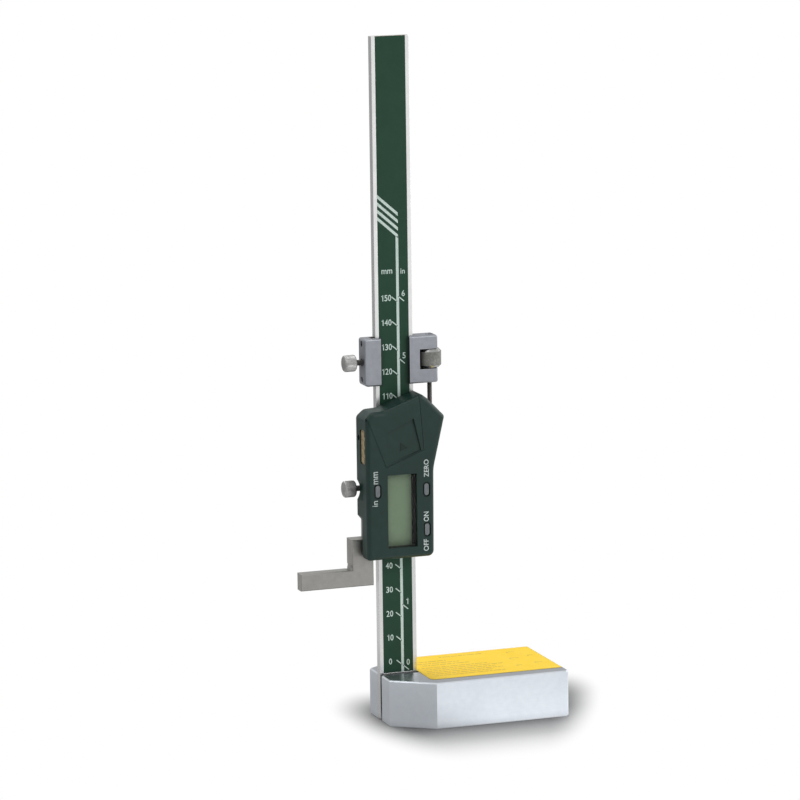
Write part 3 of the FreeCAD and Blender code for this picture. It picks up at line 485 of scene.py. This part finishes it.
dress("circuit_board", laminate("green_board", (0.010, 0.11, 0.04, 1), (0.10, 0.30, 0.10, 1), 900.0, 0.05))
dress("scale_circuit_strip", laminate("circuit_laminate", (0.22, 0.19, 0.08, 1), (0.55, 0.30, 0.12, 1),
                                      500.0, 0.3))
dress("display_panel", film("grey_display", (0.310, 0.455, 0.270, 1), (0.350, 0.510, 0.310, 1), 0.35, 60.0))
dress("data_port_contacts", moulded("contact_carrier", (0.30, 0.22, 0.105, 1), (0.40, 0.31, 0.16, 1), 0.42))


def make_window():
    """Clear plastic that is nearly invisible but for its gloss."""
    material, tree, shader = start_material("clear_window", Metallic=0.0, Roughness=0.08)
    clouds = put(tree, cloudy_patches, Patches_per_metre=80.0, Contrast=0.8)
    tree.links.new(two_colours(tree, clouds.outputs[0], (0.80, 0.84, 0.80, 1), (0.88, 0.92, 0.88, 1)),
                   shader.inputs["Base Color"])
    tree.links.new(between(tree, clouds.outputs[0], 0.015, 0.03), shader.inputs["Alpha"])
    return material


dress("window_lens", make_window())
print("films, boards and window are set")

# %% [markdown]
# ## Softer edges
# The CAD solids have mathematically sharp edges, which look cut from paper because they never catch the
# light. A Weld modifier joins the mesh's split corners and a Bevel modifier then rounds each sharp edge
# by a tenth of a millimetre or two, as deburring does. The CAD mesh itself stays as it is.

# %% Weld and bevel on the CAD pieces
def soften(node, width, angle=28.0, segments=2):
    """Rounds the edges of a piece that are sharper than the angle, in degrees."""
    piece = nodes[node]
    weld = piece.modifiers.new("weld", "WELD")
    weld.merge_threshold = 0.001 * mm
    bevel = piece.modifiers.new("bevel", "BEVEL")
    bevel.width = width
    bevel.segments = segments
    bevel.limit_method = "ANGLE"
    bevel.angle_limit = math.radians(angle)
    bevel.use_clamp_overlap = True
    bevel.harden_normals = True
    even = piece.modifiers.new("flat faces", "WEIGHTED_NORMAL")
    even.mode = "FACE_AREA"
    even.weight = 100
    for face in piece.data.polygons:
        face.use_smooth = True


for node, width in (("base_block", 0.15), ("beam", 0.12), ("slider_frame", 0.15), ("carriage_frame", 0.15)):
    soften(node, width * mm)
print("edges softened on 4 pieces")

# %% [markdown]
# ## Lettering
# Numbers and words are printed flat on the label and on the cover. They could be painted in a texture,
# but letters made as thin meshes stay crisp in a close view. Blender's text tool gives the outlines, which
# are scaled to the printed height and width and laid on the surface below, found with a ray.

# %% Finding the surface below a print
print_lift = 0.02 * mm
ray_start = -0.2


def surface_of(node):
    """Search tree of a CAD piece, for rays."""
    data = nodes[node].data
    return BVHTree.FromPolygons([v.co for v in data.vertices], [list(p.vertices) for p in data.polygons])


def front_at(tree, x, z):
    """The y of the first surface that a ray from the front meets."""
    hit = tree.ray_cast(Vector((x, ray_start, z)), Vector((0, 1, 0)))[0]
    return hit.y if hit else None


label_surface = surface_of("scale_label")
cover_surface = surface_of("cover_housing")
lid_surface = surface_of("battery_lid")
label_y = front_at(label_surface, -0.029, 0.2)
cover_y = front_at(cover_surface, -0.0415, 0.1033)
print("label front at y", round(label_y / mm, 3), "and cover front at y", round(cover_y / mm, 3))

# %% Letters as flat outlines
def letters(words, height, width, bold=0.0):
    """Points and faces of the words in a plane, centred, height and width in metres."""
    text = bpy.data.curves.new("letters", "FONT")
    text.body = words
    text.offset = bold
    text.resolution_u = 4
    carrier = in_scene("letters", text)
    bpy.context.view_layer.update()
    flat = bpy.data.meshes.new_from_object(carrier.evaluated_get(bpy.context.evaluated_depsgraph_get()))
    bpy.data.objects.remove(carrier)
    xs = [v.co.x for v in flat.vertices]
    ys = [v.co.y for v in flat.vertices]
    across = width / (max(xs) - min(xs))
    up = height / (max(ys) - min(ys))
    middle = ((max(xs) + min(xs)) / 2, (max(ys) + min(ys)) / 2)
    points = [((v.co.x - middle[0]) * across, (v.co.y - middle[1]) * up) for v in flat.vertices]
    return points, [list(p.vertices) for p in flat.polygons]


class Print:
    """Collects flat shapes that are printed on one surface, and makes one mesh of them."""

    def __init__(self, name):
        self.name = name
        self.points = []
        self.faces = []

    def shape(self, points, faces):
        """Adds points, and faces that count from the first of them."""
        start = len(self.points)
        self.points += points
        self.faces += [[start + i for i in face] for face in faces]

    def words(self, words, x, z, height, width, y, upward=False, bold=0.012):
        """Words centred on x and z, which read to the right or upward."""
        points, faces = letters(words, height, width, bold)
        if upward:
            points = [(-v, u) for u, v in points]
        self.shape([(x + u, y, z + v) for u, v in points], faces)

    def number(self, number, x, z, height, y):
        """Digits side by side round x. The one is a bar with a short flag."""
        step = height * 0.62
        wide = height * 0.54
        bar = height * 0.15
        flag = height * 0.13
        for i, digit in enumerate(number):
            middle = x + (i - (len(number) - 1) / 2) * step
            if digit == "1":
                right = middle + height * 0.08
                top = z + height / 2
                self.stroke((right, z - height / 2), (right, top), bar, y)
                tip = (right - height * 0.24, top - height * 0.26)
                self.stroke((right, top - height * 0.08), tip, flag, y)
            else:
                self.words(digit, middle, z, height, wide, y, bold=0.015)

    def stroke(self, start, end, width, y):
        """A straight line of even width between two (x, z) points."""
        way = Vector((end[0] - start[0], end[1] - start[1])).normalized() * (width / 2)
        side = (-way.y, way.x)
        corners = [(start[0] + side[0], y, start[1] + side[1]), (start[0] - side[0], y, start[1] - side[1]),
                   (end[0] - side[0], y, end[1] - side[1]), (end[0] + side[0], y, end[1] + side[1])]
        self.shape(corners, [[0, 1, 2, 3]])

    def band(self, left, right, thick, y):
        """A slanting stripe between two (x, z) points, with upright ends."""
        half = thick / 2
        self.shape([(left[0], y, left[1] - half), (right[0], y, right[1] - half),
                    (right[0], y, right[1] + half), (left[0], y, left[1] + half)], [[0, 1, 2, 3]])

    def build(self, body, material):
        """Makes the piece, which rides on the body."""
        mesh = bpy.data.meshes.new(self.name)
        mesh.from_pydata([tuple(p) for p in self.points], [], self.faces)
        mesh.materials.append(material)
        piece = in_scene(self.name, mesh)
        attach(piece, body)
        print(self.name, "has", len(self.faces), "faces")


mint_ink = film("mint_ink", (0.70, 0.86, 0.79, 1), (0.80, 0.94, 0.87, 1), 0.5, 300.0)
white_ink = film("white_ink", (0.66, 0.74, 0.72, 1), (0.80, 0.86, 0.84, 1), 0.5, 300.0)
print("inks:", mint_ink.name, "and", white_ink.name)

# %% [markdown]
# ## Printed scale
# The label carries a white line with millimetre numbers on its left and inch numbers on its right. Each
# number has a short slanting tick. At the top the line turns into the lowest of four slanting stripes.
# Both rows are loops, because the spacing is the one thing on a scale that has to be exact.

# %% Scale: line, ticks, numbers and stripes
label_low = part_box("scale_label")[0]
ink_y = label_y - print_lift
line_x = -27.15 * mm
line_width = 1.15 * mm
zero_mm = 22.7 * mm
zero_inch = 22.2 * mm
tick_width = 0.42 * mm
tick_fall = 1.95 * mm
mm_tick = (-27.4 * mm, -29.75 * mm)
inch_tick = (-26.9 * mm, -24.45 * mm)
inch = 25.4 * mm
digit_height = 2.5 * mm
short_centre = -32.4 * mm
long_centre = -32.15 * mm
inch_centre = -24.75 * mm
mm_rise = 1.62 * mm
inch_rise = 1.3 * mm
stripe_left = label_low.x
stripe_right = -26.65 * mm
stripe_low = 199.1 * mm
stripe_rise = 7.6 * mm
stripe_step = 2.97 * mm
stripe_thick = 1.45 * mm

scale = Print("scale_print")
scale.band((line_x - line_width / 2, (label_low.z + stripe_low) / 2),
           (line_x + line_width / 2, (label_low.z + stripe_low) / 2), stripe_low - label_low.z, ink_y)
for k in range(16):
    height = zero_mm + 10 * k * mm
    number = str(10 * k)
    centre = long_centre if len(number) == 3 else short_centre
    scale.stroke((mm_tick[0], height), (mm_tick[1], height + tick_fall), tick_width, ink_y)
    scale.number(number, centre, height + mm_rise, digit_height, ink_y)
for k in range(7):
    height = zero_inch + inch * k
    scale.stroke((inch_tick[0], height + 0.15 * mm), (inch_tick[1], height - tick_fall), tick_width, ink_y)
    scale.number(str(k), inch_centre, height + inch_rise, digit_height, ink_y)
scale.words("mm", x=-31.6 * mm, z=185.0 * mm, height=1.7 * mm, width=4.6 * mm, y=ink_y)
scale.words("in", x=-24.9 * mm, z=184.9 * mm, height=2.1 * mm, width=1.85 * mm, y=ink_y)
for k in range(4):
    low = stripe_low + stripe_step * k
    scale.band((stripe_left, low + stripe_rise), (stripe_right, low), stripe_thick, ink_y)
scale.build("base", mint_ink)

# %% [markdown]
# ## Words on the display unit
# The white words beside the buttons read upward, so that a user who lays the gauge down can read them.
# They could be painted in a texture. Flat letters stay crisp, and they ride on the slider, so they move
# with it.

# %% Words beside the buttons
word_y = cover_y - print_lift
words = Print("key_words")
for text, x, z, high, wide, thick in (
    ("mm", -41.52, 103.32, 1.9, 5.0, 0.0),
    ("in", -41.93, 92.82, 2.3, 2.3, 0.0),
    ("ZERO", -19.94, 105.74, 2.1, 7.2, 0.012),
    ("ON", -20.2, 85.88, 2.15, 4.0, 0.012),
    ("OFF", -20.36, 74.17, 2.15, 4.9, 0.012),
):
    words.words(text, x * mm, z * mm, high * mm, wide * mm, word_y, upward=True, bold=thick)
words.build("slider", white_ink)

# %% [markdown]
# ## Edge of the display
# The real display ends before the right wall of its window, where a black border lies in that wall's shade.
# The plate could be made narrower, but the solids stay as they come, so a matte black strip on its face
# fills that place: partly the black border and partly a painted shade.

# %% Black strip beside the display
display_low, display_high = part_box("display_panel")
# The black strip is partly the display's black border and partly a painted shade of the window's wall.
strip = Print("display_strip")
strip_middle = -24.25 * mm
strip_width = 1.5 * mm
strip.stroke((strip_middle, display_low.z), (strip_middle, display_high.z), strip_width,
             display_low.y - print_lift)
strip.build("slider", film("black_border_and_shade", (0.004, 0.005, 0.005, 1), (0.008, 0.009, 0.009, 1),
                                            0.7, 300.0, gloss=0.05))

# %% [markdown]
# ## Arrow on the battery lid
# A raised triangle in the thumb recess shows which way the lid slides. It could be joined to the lid by a
# Boolean modifier. But the recess slopes, so it is simpler to lay each corner on the lid by a ray and to
# raise it by a tenth of a millimetre.

# %% Raised arrow
def lid_arrow():
    """A low triangle whose top is a little smaller than its foot."""
    corners = [(-30.84, 117.03), (-30.99, 113.36), (-27.45, 114.52)]
    sunk = 0.05 * mm
    raised = 0.13 * mm
    inset = 0.08
    mesh = bmesh.new()
    foot = []
    head = []
    middle = (sum(c[0] for c in corners) / 3, sum(c[1] for c in corners) / 3)
    for x, z in corners:
        y = front_at(lid_surface, x * mm, z * mm)
        foot.append(mesh.verts.new((x * mm, y + sunk, z * mm)))
        inner = [c + (m - c) * inset for c, m in zip((x, z), middle)]
        head.append(mesh.verts.new((inner[0] * mm, y - raised, inner[1] * mm)))
    mesh.faces.new(head)
    for i in range(3):
        j = (i + 1) % 3
        mesh.faces.new((foot[i], foot[j], head[j], head[i]))
    bmesh.ops.recalc_face_normals(mesh, faces=mesh.faces)
    data = bpy.data.meshes.new("lid_arrow")
    mesh.to_mesh(data)
    data.materials.append(moulded("green_arrow", (0.006, 0.020, 0.014, 1), (0.008, 0.028, 0.020, 1), 0.32))
    piece = in_scene("lid_arrow", data)
    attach(piece, "lid")
    return piece


print("arrow at", [round(c, 4) for c in lid_arrow().bound_box[0]])

# %% [markdown]
# ## Label on the foot
# The foot carries a yellow film with faint brown marks. An image could hold them, but a mesh of thin flat
# bars and open rings stays crisp in a close view. The bars have uneven lengths, so that they don't look
# like a pattern.

# %% Faint rows and rings on the yellow film
def foot_label():
    """Rows of bars as (start, end, depth), in shares of the film's size, and rings with a gap."""
    low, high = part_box("base_label")
    top = high.z + print_lift
    ink = Print("base_label_rows")
    rows = [(0.06, 0.60, 0.13), (0.06, 0.52, 0.2), (0.04, 0.62, 0.27), (0.05, 0.58, 0.34),
            (0.05, 0.66, 0.41), (0.05, 0.55, 0.48), (0.08, 0.44, 0.58), (0.05, 0.38, 0.66),
            (0.04, 0.30, 0.74), (0.28, 0.62, 0.88)]
    shortest = 0.02
    longer = 0.013
    space = 0.008
    bar = 0.5 * mm
    size = high - low
    for start, end, share in rows:
        x = start
        step = 0
        front = low.y + size.y * share
        while x < end:
            wide = shortest + longer * ((step * 7 + int(share * 100)) % 4)
            left = low.x + size.x * x
            right = low.x + size.x * min(x + wide, end)
            ink.shape([(left, front, top), (right, front, top), (right, front + bar, top),
                       (left, front + bar, top)], [[0, 1, 2, 3]])
            x += wide + space
            step += 1
    sides = 10
    gap = 3
    line = 0.25 * mm
    flatness = 0.7
    for k, (x, y) in enumerate(((0.74, 0.25), (0.90, 0.30), (0.78, 0.55), (0.92, 0.62), (0.82, 0.82))):
        centre = Vector((low.x + size.x * x, low.y + size.y * y))
        reach = (1.3 + 0.4 * (k % 3)) * mm
        for i in range(sides - gap):
            a = 2 * math.pi * i / sides
            b = 2 * math.pi * (i + 1) / sides
            ring = [(centre.x + r * math.cos(t), centre.y + flatness * r * math.sin(t), top)
                    for r, t in ((reach, a), (reach, b), (reach - line, b), (reach - line, a))]
            ink.shape(ring, [[3, 2, 1, 0]])
    brown = film("faint_ink", (0.34, 0.19, 0.02, 1), (0.50, 0.29, 0.02, 1), 0.5, 120.0)
    ink.build("base", brown)


foot_label()

# %% [markdown]
# ## Turned pieces
# Screws, the nut and the rod are turned on a lathe: a profile that is spun round an axis. The knurl and
# the thread are then only changes of the radius, round the piece or along it. A Screw modifier could spin
# the profile, but it can't cut a knurl that fades out on the rounded ends, so the rings are made here.

# %% Lathe with knurl and thread
thread_pitch = 0.4 * mm
thread_depth = 0.12 * mm
rings_per_turn = 6
knurl_teeth = 60
fine_steps = 240


def turned(name, place, axis, profile, steps, knurl=(0, 0.0), thread=(0.0, 0.0)):
    """Spins a profile of (along, radius, knurl share, thread share) round an axis that starts at place.
    knurl is (teeth, depth) and thread is (pitch, depth), in metres."""
    frame_of = {"X": (Vector((1, 0, 0)), Vector((0, 1, 0)), Vector((0, 0, 1))),
                "Z": (Vector((0, 0, 1)), Vector((1, 0, 0)), Vector((0, 1, 0)))}
    way, side, up = frame_of[axis]
    points = []
    for along, radius, share, worm in profile:
        for i in range(steps):
            turn = i / steps
            tooth = abs(2 * ((turn * knurl[0]) % 1) - 1)
            reach = radius - share * knurl[1] * tooth
            if worm:
                reach -= worm * thread[1] * abs(2 * ((along / thread[0] - turn) % 1) - 1)
            angle = 2 * math.pi * turn
            points.append(place + way * along + (side * math.cos(angle) + up * math.sin(angle)) * reach)
    faces = []
    for ring in range(len(profile) - 1):
        for i in range(steps):
            j = (i + 1) % steps
            faces.append([ring * steps + i, ring * steps + j, (ring + 1) * steps + j, (ring + 1) * steps + i])
    faces.append(list(range(steps))[::-1])
    faces.append([(len(profile) - 1) * steps + i for i in range(steps)])
    data = bpy.data.meshes.new(name)
    data.from_pydata([tuple(p) for p in points], [], faces)
    return data


def as_piece(data, name, body, replaced, materials, material_of=None):
    """Makes a piece of a mesh, in place of a CAD piece. material_of gives a face's material number."""
    for material in materials:
        data.materials.append(material)
    if material_of:
        for face in data.polygons:
            face.material_index = material_of(face)
    mesh = bmesh.new()
    mesh.from_mesh(data)
    bmesh.ops.recalc_face_normals(mesh, faces=mesh.faces)
    mesh.to_mesh(data)
    data.set_sharp_from_angle(angle=math.radians(40))
    for face in data.polygons:
        face.use_smooth = True
    piece = in_scene(name, data)
    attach(piece, body)
    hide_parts(replaced)
    print(name, "has", len(data.polygons), "faces")


def rounded_end(start, radius, corner, rising, count=6):
    """Profile points of a quarter round at one end of a drum. rising goes from the face to the side."""
    fade = corner * 0.35
    points = []
    for i in range(count + 1):
        angle = math.pi / 2 * i / count
        along = corner * (1 - math.sin(angle)) if not rising else corner * (1 - math.cos(angle))
        reach = radius - corner + (corner * math.sin(angle) if rising else corner * math.cos(angle))
        share = max(0.0, (reach - (radius - fade)) / fade)
        points.append((start + along if rising else start - along, reach, share))
    return points


print("lathe for", fine_steps, "steps round, with a thread pitch of", thread_pitch / mm, "mm")

# %% [markdown]
# ## Lock screws
# Each lock screw is a small knurled head on a blackened threaded neck. The solid from the CAD model could
# be kept, with its coarse teeth. It is swapped for a turned one, whose straight fine knurl fades out where
# the ends are rounded.

# %% Lock screws of the slider and the carriage
def lock_screw(name, body, replaced):
    """Knurled head and threaded neck in the box of a CAD piece, along X."""
    low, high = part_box(replaced)
    centre_y = (low.y + high.y) / 2
    centre_z = (low.z + high.z) / 2
    head_radius = (high.z - low.z) / 2
    head_length = 5.0 * mm
    corner = 0.85 * mm
    neck_radius = 1.2 * mm
    tooth_depth = 0.12 * mm
    face_inset = 0.35 * mm
    fade_rings = 4
    start = Vector((low.x, centre_y, centre_z))
    head = [(0.0, head_radius - corner - face_inset, 0.0)]
    head += rounded_end(0.0, head_radius, corner, True)
    head += rounded_end(head_length, head_radius, corner, False)
    head.append((head_length, neck_radius, 0.0))
    profile = [(a, r, s, 0.0) for a, r, s in head]
    length = high.x - low.x
    rings = int((length - head_length) / thread_pitch * rings_per_turn)
    for i in range(1, rings + 1):
        along = head_length + (length - head_length) * i / rings
        profile.append((along, neck_radius, 0.0, min(1.0, i / fade_rings, (rings - i) / fade_rings)))
    data = turned(name, start, "X", profile, fine_steps, knurl=(knurl_teeth, tooth_depth),
                  thread=(thread_pitch, thread_depth))

    def finish(face):
        return 1 if face.center.x - start.x > head_length + 0.01 * mm else 0

    as_piece(data, name, body, replaced, [knurled_chrome, dark_rod], finish)


lock_screw("slider_lock_turned", "slider_lock", "slider_lock_screw")
lock_screw("carriage_lock_turned", "carriage_lock", "carriage_lock_screw")

# %% [markdown]
# ## Fine adjustment rod and nut
# The nut is a finely knurled drum with polished rounded ends. Turned once on the threaded rod, it moves
# the carriage by one pitch of the thread. A bump could imitate thread and knurl, but their outline shows
# against the white, so both are real shape.

# %% Threaded rod
def threaded_rod():
    """Rod with a plain foot, a thread and a bevelled tip."""
    low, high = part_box("fine_rod")
    radius = (high.x - low.x) / 2
    place = Vector(((low.x + high.x) / 2, (low.y + high.y) / 2, low.z))
    length = high.z - low.z
    plain = 8.0 * mm
    tip = 0.3 * mm
    coarse_steps = 24
    profile = [(0.0, radius, 0.0, 0.0), (plain, radius, 0.0, 0.0)]
    rings = int((length - plain) / thread_pitch * rings_per_turn)
    for i in range(1, rings + 1):
        along = plain + (length - plain) * i / rings
        bevel = max(0.0, along - (length - tip))
        profile.append((along, radius - bevel, 0.0, min(1.0, i / rings_per_turn)))
    data = turned("fine_rod_threaded", place, "Z", profile, coarse_steps, thread=(thread_pitch, thread_depth))
    as_piece(data, "fine_rod_threaded", "slider", "fine_rod", [dark_rod])


threaded_rod()

# %% Knurled nut
def knurled_nut():
    """Knurled drum with a bore, low hubs and rounded ends. The lathe's flat caps over the bore go."""
    low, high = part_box("fine_nut")
    radius = (high.x - low.x) / 2
    place = Vector(((low.x + high.x) / 2, (low.y + high.y) / 2, low.z))
    length = high.z - low.z
    hub = 3.5 * mm
    bore = 1.05 * mm
    drum_start = 0.15 * mm
    drum_end = length - drum_start
    corner = 1.0 * mm
    bore_bevel = 0.3 * mm
    hub_bevel = 0.15 * mm
    knurl_fade = 0.2 * mm
    tooth_depth = 0.1 * mm
    profile = [(bore_bevel, bore, 0, 0), (0.0, bore + bore_bevel, 0, 0), (0.0, hub - hub_bevel, 0, 0),
               (drum_start, hub, 0, 0), (drum_start, radius - corner, 0, 0),
               (drum_start + 0.75 * corner, radius - 0.25 * corner, 0, 0),
               (drum_start + corner, radius, 0.8, 0), (drum_start + corner + knurl_fade, radius, 1, 0)]
    profile += [(length - a, r, s, t) for a, r, s, t in reversed(profile)]
    profile.append(profile[0])
    data = turned("fine_nut_turned", place, "Z", profile, fine_steps, knurl=(knurl_teeth, tooth_depth))
    caps = [p for p in data.polygons if len(p.vertices) > 4]
    mesh = bmesh.new()
    mesh.from_mesh(data)
    mesh.faces.ensure_lookup_table()
    bmesh.ops.delete(mesh, geom=[mesh.faces[p.index] for p in caps], context="FACES_ONLY")
    bmesh.ops.remove_doubles(mesh, verts=mesh.verts, dist=0.0001 * mm)
    mesh.to_mesh(data)

    def finish(face):
        along = face.center.z - place.z
        return 0 if drum_start + corner < along < drum_end - corner else 1

    as_piece(data, "fine_nut_turned", "nut", "fine_nut", [nut_steel, nut_ends], finish)


knurled_nut()

# %% [markdown]
# ## Studio
# The photograph was taken on white. A soft key light stands at the front right, one hangs above and a
# broad one stands behind, so that the shadow falls to the front. A last one at the right is seen in
# reflections alone. Stronger lamps could make the floor white, but they would bleach the gauge. So the
# camera sees the floor turn white by itself away from the foot; near it the floor keeps the lamps' shadow,
# deepened by a painted shadow in its colour, and beyond it the world is white.

# %% Floor
shadow_slant = 0.42
left_fade = (-0.0255, -1.10)
right_fade = (0.0372, 1.33)
rear_fade = (0.0056, 0.676)
front_fade = (0.0004, -0.405)
fade_start = 0.0077
fade_end = 0.032
bright_way = (0.9, -0.4, 0.0)
near_step = (-0.02, 0.025)
side_step = (-0.1, 0.1)
near_glow = (0.38, 0.96)
right_glow = (0.66, 1.0)
left_glow = (0.60, 0.33)
# How much the painted shadow darkens the floor's colour for the camera, in front of the foot and behind it.
painted_shadow_depth = (0.4, 0.7)


def make_floor():
    """Pale floor that keeps the lamps' shadow near the foot, with a painted shadow in its colour there, and
    is white further out.
    In reflections it glows by itself, more on the right than on the left, as the photograph's paper did.
    Each fade is the place where the shadow starts to end on that side, and how fast it ends. Each glow
    is its strength at both ends of a step, which runs along the bright way or away from the foot."""
    mesh = bmesh.new()
    bmesh.ops.create_grid(mesh, x_segments=8, y_segments=8, size=6.0)
    data = bpy.data.meshes.new("floor")
    mesh.to_mesh(data)
    floor = in_scene("floor", data)
    material, tree, shader = start_material("pale_floor", Roughness=0.9, Specular_IOR_Level=0.0)
    plain = add(tree, "ShaderNodeRGB")
    plain.outputs[0].default_value = (0.80, 0.80, 0.80, 1)
    place = add(tree, "ShaderNodeNewGeometry").outputs["Position"]
    path = add(tree, "ShaderNodeLightPath")

    def ramp(value, start, end, low, high):
        made = add(tree, "ShaderNodeMapRange", {"Value": value, "From Min": start, "From Max": end,
                                                "To Min": low, "To Max": high},
                   interpolation_type="SMOOTHSTEP")
        return made.outputs["Result"]

    def vectors(operation, first, second=(0.0, 0.0, 0.0)):
        return add(tree, "ShaderNodeVectorMath", {0: first, 1: second}, operation=operation).outputs

    across = add(tree, "ShaderNodeSeparateXYZ", {0: place}).outputs

    def past_edge(value, fade):
        edge, rate = fade
        side = "MAXIMUM" if rate > 0 else "MINIMUM"
        return maths(tree, "MULTIPLY", maths(tree, side, maths(tree, "SUBTRACT", value, edge), 0.0), rate)

    slanted = maths(tree, "SUBTRACT", across["X"], maths(tree, "MULTIPLY", across["Y"], shadow_slant))
    sideways = maths(tree, "ADD", past_edge(across["X"], left_fade), past_edge(slanted, right_fade))
    lengthways = maths(tree, "ADD", past_edge(across["Y"], rear_fade), past_edge(across["Y"], front_fade))
    both_ways = add(tree, "ShaderNodeCombineXYZ", {0: sideways, 1: lengthways})
    from_foot = vectors("LENGTH", both_ways.outputs[0])["Value"]
    rightward = vectors("DOT_PRODUCT", place, bright_way)["Value"]
    nearby = ramp(rightward, *near_step, *near_glow)
    away = vectors("LENGTH", place)["Value"]
    to_right = ramp(rightward, *side_step, 0.0, 1.0)
    to_left = ramp(rightward, *side_step, 1.0, 0.0)
    right_side = maths(tree, "MULTIPLY", ramp(away, 0.3, 0.9, *right_glow), to_right)
    left_side = maths(tree, "MULTIPLY", ramp(away, 0.33, 0.45, *left_glow), to_left)
    change = maths(tree, "SUBTRACT", maths(tree, "ADD", right_side, left_side), nearby)
    bright = maths(tree, "ADD", nearby, maths(tree, "MULTIPLY", change, ramp(away, 0.08, 0.16, 0.0, 1.0)))
    mirrored = add(tree, "ShaderNodeEmission", {"Strength": bright})
    white = add(tree, "ShaderNodeEmission", {"Strength": 1.0})
    seen = maths(tree, "MAXIMUM", path.outputs["Is Camera Ray"], path.outputs["Is Transmission Ray"])
    white_share = maths(tree, "MULTIPLY", seen, ramp(from_foot, fade_start, fade_end, 0.0, 1.0))
    # Painted shadow: the camera sees the floor's colour darker, by 40 % in front of the foot and 70 % behind
    # it.
    loss = ramp(across["Y"], -0.04, -0.005, *painted_shadow_depth)
    painted_shadow_dim = maths(tree, "SUBTRACT", 1.0, maths(tree, "MULTIPLY", seen, loss))
    # A painted shadow also darkens the floor's colour wherever the gauge is within 30 mm.
    paper = darken_corners(tree, plain.outputs[0], 30 * mm, 0.5)
    tree.links.new(vectors("MULTIPLY", paper, painted_shadow_dim)[0], shader.inputs["Base Color"])
    mixed = add(tree, "ShaderNodeMixShader", {0: white_share, 1: shader.outputs[0], 2: white.outputs[0]})
    mixed = add(tree, "ShaderNodeMixShader", {0: path.outputs["Is Glossy Ray"], 1: mixed.outputs[0],
                                              2: mirrored.outputs[0]})
    tree.links.new(mixed.outputs[0], tree.nodes["Material Output"].inputs["Surface"])
    data.materials.append(material)


make_floor()
print("floor is set, with its shadow fading over", round((fade_end - fade_start) / mm, 1), "mm")

# %% World
soft_light = 0.38
wall_light = 0.62


def make_world():
    """Soft light from all sides, paler walls in reflections, and plain white for the camera."""
    world = bpy.data.worlds.new("studio")
    bpy.context.scene.world = world
    world.use_nodes = True
    tree = world.node_tree
    tree.nodes.clear()
    path = add(tree, "ShaderNodeLightPath")
    light = add(tree, "ShaderNodeBackground", {"Color": (0.97, 0.99, 1.0, 1), "Strength": soft_light})
    walls = add(tree, "ShaderNodeBackground", {"Color": (1, 1, 1, 1), "Strength": wall_light})
    white = add(tree, "ShaderNodeBackground", {"Color": (1, 1, 1, 1), "Strength": 1.0})
    show = add(tree, "ShaderNodeMixShader", {0: path.outputs["Is Glossy Ray"], 1: light.outputs[0],
                                             2: walls.outputs[0]})
    clear = maths(tree, "MAXIMUM", path.outputs["Is Camera Ray"], path.outputs["Is Transmission Ray"])
    full = add(tree, "ShaderNodeMixShader", {0: clear, 1: show.outputs[0], 2: white.outputs[0]})
    add(tree, "ShaderNodeOutputWorld", {"Surface": full.outputs[0]})


make_world()
print("world gives light of strength", soft_light, "and", wall_light, "in reflections")

# %% Lamps
def softbox(name, place, target, width, height, power, mirrored=True, lights=True):
    """Area lamp that looks at the target. It may be left out of reflections or of the diffuse light."""
    lamp = bpy.data.lights.new(name, "AREA")
    lamp.shape = "RECTANGLE"
    lamp.size = width
    lamp.size_y = height
    lamp.energy = power
    holder = in_scene(name, lamp)
    holder.visible_glossy = mirrored
    holder.visible_diffuse = lights
    way = Vector(target) - Vector(place)
    holder.location = place
    holder.rotation_euler = way.to_track_quat("-Z", "Y").to_euler()


softbox("key", (0.9, -1.3, 1.1), (0, 0, 0.12), width=1.0, height=1.0, power=7)
softbox("top", (-0.2, 0.3, 1.5), (0, 0, 0.1), width=0.8, height=0.8, power=5)
softbox("back", (0.0, 1.5, 0.85), (0, 0, 0.05), width=1.6, height=0.8, power=30, mirrored=False)
softbox("edge", (1.6, 0.1, 0.35), (0, 0, 0.1), width=1.2, height=1.6, power=10, lights=False)
print("four softboxes are set")
